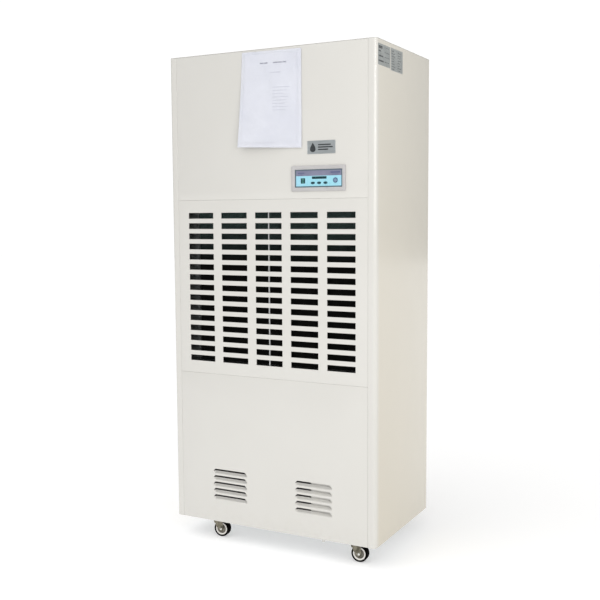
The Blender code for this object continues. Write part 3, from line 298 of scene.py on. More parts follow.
def make_materials():
    return {
        "paint": cabinet_paint("cabinet_paint"),
        # Side sheet paint with a painted reflection of a warm room, darker low down.
        "painted_reflection_sides": cabinet_paint("cabinet_side_painted_reflection", painted_side_reflection=True),
        "paint_cad": cabinet_paint("cabinet_paint_rounded", 0.0008),
        "galvanised": galvanised("galvanised_sheet"),
        # Coil fins whose colour paints light near the top and shade lower down.
        "fins": fins_with_painted_light("coated_fins_painted_light"),
        "horn": surface("dulled_zinc", (0.270, 0.250, 0.195), (0.080, 0.073, 0.050), (0.30, 0.46), 0.85,
            patch=85.0, grain=900.0, relief=0.00002),
        "copper": surface("drawn_copper", (0.74, 0.36, 0.22), (0.52, 0.24, 0.14), (0.28, 0.46), 1.0,
            patch=30.0, worn=(0.80, 0.50, 0.36)),
        "enamel": surface("black_enamel", (0.030, 0.030, 0.031), (0.018, 0.018, 0.019), (0.28, 0.46),
            patch=12.0, grain=500.0, worn=(0.14, 0.13, 0.12), round_edges=0.0006),
        "shaft": surface("ground_steel", (0.60, 0.60, 0.59), (0.50, 0.50, 0.49), (0.20, 0.34), 1.0,
            patch=60.0, stretch=(1.0, 6.0, 6.0)),
        "tyre": surface("tyre_rubber", (0.002, 0.002, 0.002), (0.004, 0.0035, 0.0035), (0.70, 0.86),
            patch=90.0, grain=1500.0, relief=0.00006, Specular_IOR_Level=0.02),
        "core": surface("wheel_core", (0.93, 0.91, 0.87), (0.86, 0.83, 0.78), (0.30, 0.46), patch=80.0,
            grain=1300.0),
        "hub": surface("hub_cap", (0.210, 0.198, 0.165), (0.110, 0.102, 0.083), (0.26, 0.42), 0.60,
            patch=120.0, grain=1200.0),
        "bolt": surface("plated_bolt", (0.78, 0.77, 0.74), (0.58, 0.57, 0.54), (0.18, 0.30), 0.95,
            patch=150.0),
        "grommet": surface("grommet_rubber", (0.020, 0.020, 0.020), (0.035, 0.034, 0.032), (0.60, 0.80),
            patch=70.0, grain=900.0, relief=0.00006),
        "hose": surface("hose", (0.40, 0.41, 0.42), (0.32, 0.33, 0.34), (0.48, 0.62), patch=25.0,
            grain=700.0),
        "grille": surface("grille_plastic", (0.78, 0.77, 0.73), (0.72, 0.71, 0.67), (0.36, 0.50),
            patch=14.0, grain=900.0, round_edges=0.0005),
        "bezel": surface("bezel_plastic", (0.520, 0.508, 0.506), (0.475, 0.462, 0.462), (0.36, 0.48),
            patch=30.0, grain=1400.0, worn=(0.70, 0.69, 0.70)),
        "spout": surface("spout_plastic", (0.76, 0.76, 0.73), (0.66, 0.65, 0.61), (0.36, 0.52),
            patch=50.0, grain=1100.0),
        "black": surface("black_plastic", (0.030, 0.030, 0.033), (0.045, 0.045, 0.047), (0.42, 0.58),
            patch=60.0, grain=1100.0, worn=(0.10, 0.10, 0.10)),
        "mill": surface("mill_aluminium", (0.70, 0.71, 0.71), (0.58, 0.59, 0.59), (0.34, 0.50), 0.9,
            patch=16.0, grain=900.0, stretch=(1.0, 1.0, 0.2)),
        "filter": surface("filter_thread", (0.005, 0.006, 0.006), (0.009, 0.009, 0.008), (0.60, 0.80),
            patch=40.0, grain=1500.0, Specular_IOR_Level=0.1),
        "film": control_film("control_film"),
        "key": surface("key_plastic", (0.004, 0.052, 0.066), (0.003, 0.036, 0.050), (0.24, 0.36),
            patch=160.0, grain=1500.0),
        "power": surface("power_key_plastic", (0.095, 0.165, 0.280), (0.070, 0.125, 0.225), (0.22, 0.34),
            patch=160.0, grain=1500.0),
        "symbol": surface("key_symbol", (0.56, 0.74, 0.88), (0.46, 0.64, 0.80), (0.30, 0.42),
            patch=200.0),
        "display": surface("display_lens", (0.006, 0.030, 0.036), (0.012, 0.060, 0.070), (0.06, 0.14),
            patch=220.0, grain=1500.0, relief=0.00001),
        "lamp": surface("indicator_lamp", (0.10, 0.32, 0.26), (0.06, 0.22, 0.20), (0.16, 0.28),
            patch=300.0),
        "board": surface("circuit_board", (0.030, 0.190, 0.085), (0.020, 0.130, 0.060), (0.30, 0.48),
            patch=90.0, grain=1500.0),
        "badge": brushed_badge("nameplate"),
        "ink": surface("nameplate_ink", (0.020, 0.024, 0.026), (0.040, 0.046, 0.048), (0.28, 0.42),
            patch=200.0),
        "foil": surface("label_foil", (0.44, 0.465, 0.455), (0.36, 0.385, 0.38), (0.26, 0.40), 0.45,
            patch=40.0, grain=700.0, relief=0.00004),
        "print": surface("label_print", (0.060, 0.066, 0.070), (0.130, 0.136, 0.138), (0.45, 0.60),
            patch=90.0),
        "paper": surface("office_paper", (0.760, 0.772, 0.825), (0.730, 0.742, 0.800), (0.62, 0.78),
            patch=12.0, grain=900.0, relief=0.00005),
        "pale_print": surface("paper_print", (0.44, 0.45, 0.54), (0.54, 0.55, 0.63), (0.55, 0.70),
            patch=160.0),
        "header_print": surface("paper_header", (0.16, 0.16, 0.22), (0.26, 0.26, 0.33), (0.55, 0.70),
            patch=160.0),
        "film_clear": clear_film("sleeve_film", 0.10),
        "film_back": clear_film("sleeve_back", 0.78),
        # Dark finish for the painted shade of the screws' cross recesses.
        "recess_shade": surface("painted_recess_shade", (0.09, 0.09, 0.09), (0.14, 0.14, 0.13), (0.5, 0.7), 0.6,
            patch=300.0),
    }


# Mesh tools


def front_face(node):
    """A node's box, and its centre and half size as (x, z)."""
    low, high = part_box(node)
    centre = ((low.x + high.x) / 2, (low.z + high.z) / 2)
    half = ((high.x - low.x) / 2, (high.z - low.z) / 2)
    return low, high, centre, half


def box(bm, x, y, z, place=Matrix.Identity(4)):
    """Adds a box between the two values given for each axis."""
    middle = Vector(((x[0] + x[1]) / 2, (y[0] + y[1]) / 2, (z[0] + z[1]) / 2))
    size = (abs(x[1] - x[0]), abs(y[1] - y[0]), abs(z[1] - z[0]), 1.0)
    bmesh.ops.create_cube(bm, size=1.0, matrix=place @ Matrix.Translation(middle) @ Matrix.Diagonal(size))


def loft(bm, loops, ring=False):
    """Skins loops of equally many points; a ring joins the last loop to the first."""
    rows = [[bm.verts.new(p) for p in loop] for loop in loops]
    pairs = list(zip(rows, rows[1:])) + ([(rows[-1], rows[0])] if ring else [])
    for low, high in pairs:
        for i in range(len(low)):
            j = (i + 1) % len(low)
            bm.faces.new((low[i], low[j], high[j], high[i]))
    if not ring:
        bm.faces.new(reversed(rows[0]))
        bm.faces.new(rows[-1])


def extrude(bm, outline, start, end, axis):
    """Adds a prism of a two-coordinate outline along one axis."""
    place = {
        "x": lambda a, b, c: (c, a, b),
        "y": lambda a, b, c: (a, c, b),
        "z": lambda a, b, c: (a, b, c),
    }[axis]
    loft(bm, [[place(a, b, c) for a, b in outline] for c in (start, end)])


def lathe(bm, profile, matrix, sides=48):
    """Turns a closed (radius, height) profile about local Z; a radius of 0 closes the end."""
    rows = []
    for radius, height in profile:
        count = 1 if radius == 0 else sides
        row = []
        for i in range(count):
            angle = 2 * math.pi * i / sides
            point = Vector((radius * math.cos(angle), radius * math.sin(angle), height))
            row.append(bm.verts.new(matrix @ point))
        rows.append(row)
    following = rows[1:] + ([rows[0]] if profile[0][0] else [])
    for low, high in zip(rows, following):
        for i in range(sides):
            j = (i + 1) % sides
            corners = (low[i % len(low)], low[j % len(low)], high[j % len(high)], high[i % len(high)])
            unique = list(dict.fromkeys(corners))
            if len(unique) > 2:
                bm.faces.new(unique)


def arc(centre, radius, first, last, steps):
    return [
        (
            centre[0] + radius * math.cos(math.radians(first + (last - first) * i / steps)),
            centre[1] + radius * math.sin(math.radians(first + (last - first) * i / steps)),
        )
        for i in range(steps + 1)
    ]


def rounded_rectangle(centre, half, radius, steps):
    """Points round a rectangle with rounded corners."""
    points = []
    for sx, sz, first in ((1, 1, 0), (-1, 1, 90), (-1, -1, 180), (1, -1, 270)):
        corner = (centre[0] + sx * (half[0] - radius), centre[1] + sz * (half[1] - radius))
        points += arc(corner, radius, first, first + 90, steps)
    return points


def thickened(path, thickness):
    """The closed outline of a folded sheet whose outer side is the path."""
    inner = []
    for i, here in enumerate(path):
        before, after = Vector(path[max(i - 1, 0)]), Vector(path[min(i + 1, len(path) - 1)])
        here = Vector(here)
        normals = [
            Vector((a.y - b.y, b.x - a.x)).normalized()
            for a, b in ((before, here), (here, after))
            if (b - a).length > 1e-9
        ]
        middle = sum(normals, Vector((0.0, 0.0))).normalized()
        inner.append(tuple(here + middle * (thickness / middle.dot(normals[0]))))
    return list(path) + inner[::-1]


def tube(bm, points, radius, sides=12):
    """Adds a round tube along points."""
    points = [Vector(p) for p in points]
    last = len(points) - 1
    tangents = [(points[min(i + 1, last)] - points[max(i - 1, 0)]).normalized() for i in range(last + 1)]
    normal = tangents[0].orthogonal().normalized()
    loops = []
    for point, tangent in zip(points, tangents):
        normal = (normal - tangent * normal.dot(tangent)).normalized()
        other = tangent.cross(normal)
        angles = [2 * math.pi * i / sides for i in range(sides)]
        loops.append([point + (normal * math.cos(a) + other * math.sin(a)) * radius for a in angles])
    loft(bm, loops)


def patch(bm, near, far, columns, rows):
    """Adds a closed slab between two surfaces, each a function of shares across and down."""
    layers = [
        [[bm.verts.new(side(i / columns, j / rows)) for i in range(columns + 1)] for j in range(rows + 1)]
        for side in (near, far)
    ]
    for grid in layers:
        for j in range(rows):
            for i in range(columns):
                bm.faces.new((grid[j][i], grid[j][i + 1], grid[j + 1][i + 1], grid[j + 1][i]))
    rim = [(j, 0) for j in range(rows)] + [(rows, i) for i in range(columns)]
    rim += [(j, columns) for j in range(rows, 0, -1)] + [(0, i) for i in range(columns, 0, -1)]
    for (j, i), (m, n) in zip(rim, rim[1:] + rim[:1]):
        bm.faces.new((layers[0][j][i], layers[0][m][n], layers[1][m][n], layers[1][j][i]))


def round_off(made, width, degrees):
    """Bevels the edges that are sharper than the angle."""
    rounding = made.modifiers.new("rounding", "BEVEL")
    rounding.width = width
    rounding.segments = 2
    rounding.limit_method = "ANGLE"
    rounding.angle_limit = math.radians(degrees)
    rounding.harden_normals = True


def piece(name, bm, material, slot, *nodes, body="cabinet", angle=35.0, bevel=0.0, matrix=None,
          closed=True):
    """Makes a named piece that rides a body, mostly the cabinet, and may stand for CAD nodes."""
    if matrix is not None:
        bm.transform(matrix)
    if closed:
        bmesh.ops.recalc_face_normals(bm, faces=bm.faces)
    mesh = bpy.data.meshes.new(name)
    bm.to_mesh(mesh)
    bm.free()
    mesh.materials.append(MATERIALS[material])
    mesh.shade_smooth()
    mesh.set_sharp_from_angle(angle=math.radians(angle))
    made = bpy.data.objects.new(name, mesh)
    bpy.context.scene.collection.objects.link(made)
    if bevel:
        round_off(made, bevel, 40)
    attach(made, body)
    if nodes:
        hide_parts(*nodes)
    return made


# Cabinet sheets


def perforated_tray(name, node, body, x, z, holes, corner=0.0):
    """A folded front sheet with holes, each (left, right, low, high), their top corners cut off."""
    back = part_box(node)[1].y
    xs = sorted({*x, *(v for h in holes for v in h[:2])})
    zs = sorted({*z, *(v for h in holes for v in (h[2], h[3] - corner, h[3]))})
    bm = bmesh.new()
    grid = {(a, c): bm.verts.new((a, FRONT, c)) for a in xs for c in zs}
    for x0, x1 in zip(xs, xs[1:]):
        for z0, z1 in zip(zs, zs[1:]):
            middle = ((x0 + x1) / 2, (z0 + z1) / 2)
            if not any(h[0] < middle[0] < h[1] and h[2] < middle[1] < h[3] for h in holes):
                bm.faces.new((grid[x0, z0], grid[x1, z0], grid[x1, z1], grid[x0, z1]))
    for left, right, _, high in holes:
        grid[left, high].co.x += corner
        grid[right, high].co.x -= corner
    rim = [
        e
        for e in bm.edges
        if any(all(abs(v.co.x - side) < 1e-6 for v in e.verts) for side in x)
        or any(all(abs(v.co.z - side) < 1e-6 for v in e.verts) for side in z)
    ]
    folded = bmesh.ops.extrude_edge_only(bm, edges=rim)["geom"]
    moved = [v for v in folded if isinstance(v, bmesh.types.BMVert)]
    bmesh.ops.translate(bm, verts=moved, vec=(0.0, back - FRONT, 0.0))
    bmesh.ops.bevel(bm, geom=rim, offset=0.0008, segments=3, profile=0.5, affect="EDGES")
    made = piece(name, bm, "paint", "cabinet_paint", node, body=body, closed=False)
    sheet = made.modifiers.new("sheet", "SOLIDIFY")
    sheet.thickness = FRONT_STEEL
    sheet.offset = -1.0
    sheet.use_even_offset = True
    round_off(made, 0.0003, 50)


def side_sheets():
    """The two sides, wrapped round the front corners and folded in at the back."""
    for sign, side in ((1, "right"), (-1, "left")):
        node = f"{side}_side_panel"
        low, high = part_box(node)
        radius = 0.012
        path = [(STRIP_EDGE, FRONT + 0.016)]
        path += arc((STRIP_EDGE + 0.001, FRONT + 0.001), 0.001, 180, 270, 4)
        path += arc((SIDE - radius, FRONT + radius), radius, -90, 0, 16)
        path += arc((SIDE - 0.0015, high.y - 0.0015), 0.0015, 0, 90, 4)
        path += [(SIDE - 0.020, high.y), (SIDE - 0.020, high.y - 0.012)]
        bm = bmesh.new()
        outline = [(sign * x, y) for x, y in thickened(path, STEEL)]
        extrude(bm, outline, low.z, high.z, "z")
        # The sides take the paint that carries the painted reflection.
        piece(f"{side}_side_sheet", bm, "painted_reflection_sides", "cabinet_paint", node)


def front_sheets():
    """The three front panels, edge to edge between the side strips."""
    upper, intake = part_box("upper_front_panel"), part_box("intake_grille_panel")
    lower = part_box("lower_front_panel")
    seams = ((upper[0].z + intake[1].z) / 2, (intake[0].z + lower[1].z) / 2)
    columns, rows = 5, 15
    middle = (intake[0].z + intake[1].z) / 2
    slots = []
    for column in range(columns):
        for row in range(rows):
            x = (column - (columns - 1) / 2) * SLOT_PITCH_X
            z = middle + (row - (rows - 1) / 2) * SLOT_PITCH_Z
            slots.append((x - SLOT_HALF_X, x + SLOT_HALF_X, z - SLOT_HALF_Z, z + SLOT_HALF_Z))
    half_x, half_z = 0.0885, 0.0335
    window = (CONTROL[0] - half_x, CONTROL[0] + half_x, CONTROL[1] - half_z, CONTROL[1] + half_z)
    gap = SEAM / 2
    x = (SEAM - STRIP_EDGE, STRIP_EDGE - SEAM)
    z = (seams[0] + gap, upper[1].z)
    perforated_tray("upper_fascia", "upper_front_panel", "cabinet", x, z, [window])
    z = (seams[1] + gap, seams[0] - gap)
    perforated_tray("intake_sheet", "intake_grille_panel", "intake_panel", x, z, slots)
    z = (lower[0].z, seams[1] - gap)
    louvres = list(louvre_places())
    perforated_tray("service_sheet", "lower_front_panel", "cabinet", x, z, louvres, LOUVRE_CORNER)


def louvre_places():
    """(left, right, low, top) of each louvre of the service panel."""
    for centre in (-LOUVRE_X, LOUVRE_X):
        for row in range(5):
            top = BOTTOM + LOUVRE_TOP - row * LOUVRE_PITCH
            yield centre - LOUVRE_HALF_X, centre + LOUVRE_HALF_X, top - LOUVRE_HEIGHT, top


def pressed_louvres():
    """Each louvre's lower part, pressed inwards from the sheet and closed at both ends."""
    depth, mouth, end, columns, rows = 0.0092, 0.0086, 0.0058, 40, 9
    bm = bmesh.new()
    for left, right, low, top in louvre_places():
        def pressed(across, up, inset=0.0):
            z = low + (top - mouth - low) * up
            from_end = min(across, 1.0 - across) * (right - left)
            ramp = min(1.0, from_end / end)
            sink = ramp * ramp * (3 - 2 * ramp) * math.sin(math.pi / 2 * up) ** 1.25
            return Vector((left + (right - left) * across, FRONT + inset + depth * sink, z))

        patch(bm, pressed, lambda a, b: pressed(a, b, FRONT_STEEL), columns, rows)
    piece("louvre_flaps", bm, "paint", "cabinet_paint", angle=60)


def screw_places():
    """(point, outward axis) of the cabinet's sheet-metal screws."""
    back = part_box("rear_panel")
    for z in [back[0].z + 0.030 + i * 0.2205 for i in range(8)]:
        for sign in (-1, 1):
            yield Vector((sign * (SIDE - 0.0105), REAR, z)), "y"
    for x in (-0.25, -0.125, 0.0, 0.125, 0.25):
        yield Vector((x, REAR, back[1].z - 0.010)), "y"
        yield Vector((x, REAR, back[0].z + 0.012)), "y"
    for x in (-0.28, 0.0, 0.28):
        yield Vector((x, REAR - 0.016, TOP)), "z"
        yield Vector((x, FRONT + 0.016, TOP)), "z"


def screws():
    heads, recess_shades = bmesh.new(), bmesh.new()
    turns = {"y": Matrix.Rotation(-math.pi / 2, 4, "X"), "z": Matrix.Identity(4)}
    for point, axis in screw_places():
        twist = Matrix.Rotation(random.uniform(0, math.pi / 2), 4, "Z")
        place = Matrix.Translation(point) @ turns[axis] @ twist
        dome = [(0, -0.0003), (0.0037, -0.0003), (0.0038, 0.0002)]
        dome += [(0.0038 * math.cos(a), 0.0002 + 0.0015 * math.sin(a)) for a in (0.4, 0.8, 1.2)]
        lathe(heads, dome + [(0, 0.0017)], place, 20)
        # Painted shade: a dark cross standing on each dome in place of the shaded cross recess.
        for across, along in ((0.0020, 0.00035), (0.00035, 0.0020)):
            box(recess_shades, (-across, across), (-along, along), (0.0012, 0.00172), place)
    piece("sheet_screws", heads, "bolt", "zinc_steel", angle=50)
    piece("screw_recess_shades", recess_shades, "recess_shade", "zinc_steel")
    bolt = bmesh.new()
    hexagon = Matrix.Translation((0.196, FRONT + 0.0062, BOTTOM - 0.0080))
    lathe(bolt, [(0, 0.0), (0.0050, 0.0), (0.0056, 0.0006), (0.0056, 0.0072), (0, 0.0076)], hexagon, 6)
    piece("earth_bolt", bolt, "bolt", "zinc_steel")


def outlet_grille():
    """The top grille: a chamfered frame, rounded blades that lean back, and two stays."""
    low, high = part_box("outlet_grille")
    centre = ((low.x + high.x) / 2, (low.y + high.y) / 2)
    half = ((high.x - low.x) / 2, (high.y - low.y) / 2)
    wall = 0.020
    opening = (half[0] - wall, half[1] - wall)
    seat = TOP + 0.0003
    sections = (
        (half, seat),
        (half, high.z - 0.0012),
        ((half[0] - 0.0012, half[1] - 0.0012), high.z),
        ((opening[0] + 0.0015, opening[1] + 0.0015), high.z),
        (opening, high.z - 0.0015),
        (opening, low.z),
        ((opening[0] + 0.0018, opening[1] + 0.0018), low.z),
        ((opening[0] + 0.0018, opening[1] + 0.0018), seat),
    )
    bm = bmesh.new()
    rings = []
    for size, z in sections:
        radius = 0.004 if size[0] > opening[0] + 0.003 else 0.002
        rings.append([(x, y, z) for x, y in rounded_rectangle(centre, size, radius, 5)])
    loft(bm, rings, ring=True)
    piece("outlet_frame", bm, "grille", "light_plastic", "outlet_grille")
    blades = bmesh.new()
    count = 9
    for i in range(count):
        y = centre[1] + opening[1] * (2 * (i + 1) / (count + 1) - 1)
        lean, reach, thick = 0.0030, 0.0052, 0.0010
        section = []
        for angle in range(0, 360, 30):
            a = math.radians(angle)
            along, across = reach * math.cos(a), thick * math.sin(a)
            section.append((y + across - lean * along / reach, high.z - 0.0068 + along))
        extrude(blades, section, centre[0] - opening[0] - 0.0004, centre[0] + opening[0] + 0.0004, "x")
    piece("outlet_blades", blades, "grille", "light_plastic", angle=60)
    stays = bmesh.new()
    for x in (-0.050, 0.050):
        y = (centre[1] - opening[1] - 0.0004, centre[1] + opening[1] + 0.0004)
        box(stays, (x - 0.0012, x + 0.0012), y, (low.z + 0.0004, low.z + 0.0056))
    piece("outlet_stays", stays, "grille", "light_plastic", bevel=0.0004)


# Filter and coils


def filter_piece():
    """The filter's cloth as separate threads, so that the coil shows through it."""
    low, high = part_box("filter_mesh")
    pitch, half = 0.0032, 0.00022
    y = (low.y + high.y) / 2
    bm = bmesh.new()
    for i in range(int((high.x - low.x) / pitch)):
        x = low.x + pitch * (i + 0.5)
        box(bm, (x - half, x + half), (y - half, y + half), (low.z, high.z))
    for i in range(int((high.z - low.z) / pitch)):
        z = low.z + pitch * (i + 0.5)
        box(bm, (low.x, high.x), (y, y + 2.2 * half), (z - half, z + half))
    piece("filter_cloth", bm, "filter", "filter_cloth", "filter_mesh", body="intake_panel")


def coil(node, y, flange_y):
    """A coil: thin fins, tubes through them, return bends, and end plates with flanges."""
    low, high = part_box(node)
    fins = bmesh.new()
    for i in range(int(2 * FIN_X / FIN_PITCH)):
        x = -FIN_X + FIN_PITCH * (i + 0.5) + random.uniform(-0.00025, 0.00025)
        box(fins, (x - FIN_HALF, x + FIN_HALF), y, FIN_Z)
    piece(f"{node}_fins", fins, "fins", "coil_fins", node)
    tubes = bmesh.new()
    middle = (y[0] + y[1]) / 2
    for row in range(TUBE_ROWS):
        z = TUBE_FIRST + row * TUBE_PITCH
        left = FEED_END if row in (0, TUBE_ROWS - 1) else -FIN_X - 0.003
        tube(tubes, [(left, middle, z), (0, middle, z), (FIN_X + 0.003, middle, z)], TUBE_RADIUS)
    for row in range(TUBE_ROWS - 1):
        sign = 1 if row % 2 == 0 else -1
        z = TUBE_FIRST + (row + 0.5) * TUBE_PITCH
        bend = arc((0.0, z), TUBE_PITCH / 2, -90, 90, 12)
        route = [(sign * FIN_X, middle, bend[0][1])]
        route += [(sign * (FIN_X + 0.002 + 0.43 * a), middle, b) for a, b in bend]
        route += [(sign * FIN_X, middle, bend[-1][1])]
        tube(tubes, route, TUBE_RADIUS)
    piece(f"{node}_tubes", tubes, "copper", "copper_pipe", angle=60)
    plates = bmesh.new()
    plate_y = (low.y, high.y)
    for sign in (1, -1):
        inner, outer = sign * FIN_X, sign * (FIN_X + 0.0018)
        box(plates, (inner, outer), plate_y, (low.z + 0.003, high.z))
        box(plates, (outer - sign * 0.0002, sign * high.x), flange_y, (low.z, high.z))
    piece(f"{node}_plates", plates, "galvanised", "galvanised_sheet", bevel=0.0003)


# Control panel


def control_bezel():
    low, _, centre, half = front_face("control_bezel")
    window = (0.0842, 0.0282)
    front = low.y
    sections = (
        (half, 0.003, FRONT - 0.0003),
        (half, 0.003, front + 0.0014),
        ((half[0] - 0.0004, half[1] - 0.0004), 0.0028, front + 0.0005),
        ((half[0] - 0.0014, half[1] - 0.0014), 0.0024, front),
        ((window[0] + 0.0026, window[1] + 0.0026), 0.0022, front),
        ((window[0] + 0.0010, window[1] + 0.0010), 0.0014, front + 0.0010),
        (window, 0.0010, front + 0.0030),
        (window, 0.0010, FRONT - 0.00005),
        ((window[0] + 0.003, window[1] + 0.003), 0.0010, FRONT - 0.00005),
    )
    bm = bmesh.new()
    rings = [[(x, y, z) for x, z in rounded_rectangle(centre, size, r, 6)] for size, r, y in sections]
    loft(bm, rings, ring=True)
    piece("bezel_frame", bm, "bezel", "light_plastic", "control_bezel", angle=50)


def domed_key(name, node, body, material):
    """A moulded key with a rounded rim and a slightly crowned face."""
    low, high, centre, radii = front_face(node)
    sections = [(1.0, high.y), (1.0, low.y + 0.0006), (0.965, low.y + 0.0002), (0.90, low.y)]
    sections += [(0.55, low.y - 0.0002), (0.18, low.y - 0.0003)]
    bm = bmesh.new()
    loops = []
    for share, y in sections:
        loop = []
        for i in range(36):
            a = 2 * math.pi * i / 36
            x, z = radii[0] * math.cos(a) * share, radii[1] * math.sin(a) * share
            loop.append((centre[0] + x, y, centre[1] + z))
        loops.append(loop)
    loft(bm, loops)
    piece(name, bm, material, "key_plastic", node, body=body, angle=50)
    return centre, low.y


def slab(bm, centre, half, y, radius):
    """A thin rounded slab facing the front."""
    outline = rounded_rectangle(centre, half, radius, 3)
    extrude(bm, outline, y[0], y[1], "y")


def control_keys():
    for key in ("mode", "down", "up"):
        domed_key(f"{key}_cap", f"{key}_key", f"{key}_button", "key")
    centre, face = domed_key("power_cap", "power_key", "power_button", "power")
    turn = Matrix.Translation((centre[0], face, centre[1])) @ Matrix.Rotation(math.pi / 2, 4, "X")
    symbol = bmesh.new()
    gap = math.radians(36)
    steps = 24
    path = []
    for i in range(steps + 1):
        a = math.pi / 2 + gap + (2 * math.pi - 2 * gap) * i / steps
        path.append(turn @ Vector((0.0036 * math.cos(a), 0.0036 * math.sin(a), 0.0001)))
    tube(symbol, path, 0.00055, 8)
    stem = [turn @ Vector((0, y, 0.0001)) for y in (0.0012, 0.0028, 0.0044)]
    tube(symbol, stem, 0.00055, 8)
    piece("power_symbol", symbol, "symbol", "light_plastic", body="power_button", angle=60)


def control_display():
    """The display window and, left of the keys, a block of indicator lamps."""
    low, high, centre, half = front_face("display_window")
    bm = bmesh.new()
    slab(bm, centre, half, (low.y - 0.0002, high.y), 0.0010)
    piece("display_lens", bm, "display", "display_lens", "display_window", bevel=0.0002)
    block, lamps = bmesh.new(), bmesh.new()
    block_centre = (CONTROL[0] - 0.0555, BOTTOM + 1.1752)
    slab(block, block_centre, (0.0077, 0.0083), (FRONT - 0.0006, FRONT + 0.0002), 0.0010)
    for i in range(3):
        z = block_centre[1] + 0.0050 * (1 - i)
        slab(lamps, (block_centre[0], z), (0.0042, 0.0013), (FRONT - 0.0009, FRONT - 0.0005), 0.0006)
    piece("indicator_block", block, "display", "display_lens", bevel=0.0002)
    piece("indicator_lamps", lamps, "lamp", "display_lens", bevel=0.0002)


def badge():
    """A silver nameplate with a rim, a water drop and three bars."""
    low, high, centre, half = front_face("badge_plate")
    sections = (
        (0.0, high.y),
        (0.0, low.y + 0.0004),
        (0.0004, low.y),
        (0.0011, low.y),
        (0.0015, low.y + 0.0004),
        (0.0100, low.y + 0.0004),
    )
    bm = bmesh.new()
    rings = []
    for inset, y in sections:
        size = (half[0] - inset, half[1] - inset)
        corner = max(0.0020 - inset, 0.0006)
        rings.append([(x, y, z) for x, z in rounded_rectangle(centre, size, corner, 5)])
    loft(bm, rings)
    piece("nameplate", bm, "badge", "badge_metal", "badge_plate", angle=25)
    face = low.y + 0.0004
    drop = bmesh.new()
    steps, size = 40, 0.0150
    outline = []
    for i in range(steps):
        t = 2 * math.pi * i / steps
        outline.append((
            centre[0] - 0.030 + size * 0.92 * math.sin(t) * math.sin(t / 2) ** 1.4,
            centre[1] + size * math.cos(t),
        ))
    extrude(drop, outline, face - 0.0005, face + 0.0002, "y")
    widths = (0.0230, 0.0265, 0.0185)
    for i, width in enumerate(widths):
        z = centre[1] + 0.0075 * (1 - i)
        middle = (centre[0] - 0.012 + width, z)
        slab(drop, middle, (width - 0.0005, 0.0020), (face - 0.0004, face + 0.0002), 0.0015)
    piece("nameplate_mark", drop, "ink", "badge_metal", bevel=0.00015)


# Document pouch


def hung_point(across, down, outward):
    """A point of the pouch, which hangs from its top edge and curls off at its lower left corner."""
    left = POUCH_LEFT - POUCH_LEAN * down
    x = left + (POUCH_RIGHT - left) * across
    z = POUCH_TOP - (POUCH_TOP - POUCH_BOTTOM) * down
    z += 0.003 * (1 - across) * (1 - down) + down * (0.005 - 0.009 * across)
    lift = 0.0012 + POUCH_LIFT * down**2 * max(0.0, 1 - 0.85 * across) ** 1.5
    ripple = 0.00045 * down * math.sin(9.0 * across + 4.0 * down)
    ripple += 0.0003 * math.sin(14.0 * across * down + 1.0)
    return Vector((x, FRONT - 0.0004 - lift - outward - ripple * min(1.0, 4 * down), z))


def hung_patch(bm, across, down, outward, thickness, columns, rows, seam=0.0):
    """A thin slab that follows the pouch between shares across and down, pinched along its seam."""
    def layer(extra):
        def place(a, b):
            pinch = min(1.0, min(a, 1 - a, b, 1 - b) / seam) if seam else 1.0
            u = across[0] + (across[1] - across[0]) * a
            v = down[0] + (down[1] - down[0]) * b
            return hung_point(u, v, 0.0002 + (outward - 0.0002) * pinch + extra)

        return place

    patch(bm, layer(0.0), layer(thickness), columns, rows)


def pouch():
    """A clear sleeve with a booklet in it: a printed heading, a line below it and a short list."""
    booklet, inner = bmesh.new(), bmesh.new()
    hung_patch(booklet, (0.060, 0.930), (0.030, 0.945), 0.0003, 0.0015, 26, 34)
    piece("booklet", booklet, "paper", "clear_sleeve", "document_pouch", angle=60)
    hung_patch(inner, (0.075, 0.915), (0.036, 0.935), 0.00185, 0.0002, 26, 34)
    piece("cover_sheet", inner, "paper", "clear_sleeve", angle=60)
    back, film = bmesh.new(), bmesh.new()
    hung_patch(back, (0.0, 1.0), (0.0, 1.0), 0.0, 0.0001, 30, 40)
    piece("sleeve_back", back, "film_back", "clear_sleeve", angle=60)
    hung_patch(film, (0.0, 1.0), (0.0, 1.0), 0.0026, 0.0002, 60, 80, seam=0.028)
    piece("sleeve", film, "film_clear", "clear_sleeve", angle=60)
    header = bmesh.new()
    for left, right in ((0.32, 0.38), (0.39, 0.45), (0.54, 0.62), (0.63, 0.69), (0.70, 0.76)):
        hung_patch(header, (left, right), (0.120, 0.134), PRINT_LEVEL, PRINT_THICKNESS, 2, 1)
    piece("cover_heading", header, "header_print", "clear_sleeve")
    lines = bmesh.new()
    for left, right in ((0.50, 0.57), (0.58, 0.66)):
        hung_patch(lines, (left, right), (0.222, 0.231), PRINT_LEVEL, PRINT_THICKNESS, 2, 1)
    for row in range(8):
        down = 0.375 + row * 0.0335
        left = 0.535
        while left < 0.80 - 0.05 * (row % 3):
            right = left + random.uniform(0.025, 0.060)
            hung_patch(lines, (left, right), (down, down + 0.007), PRINT_LEVEL, PRINT_THICKNESS, 1, 1)
            left = right + 0.010
    piece("cover_lines", lines, "pale_print", "clear_sleeve")


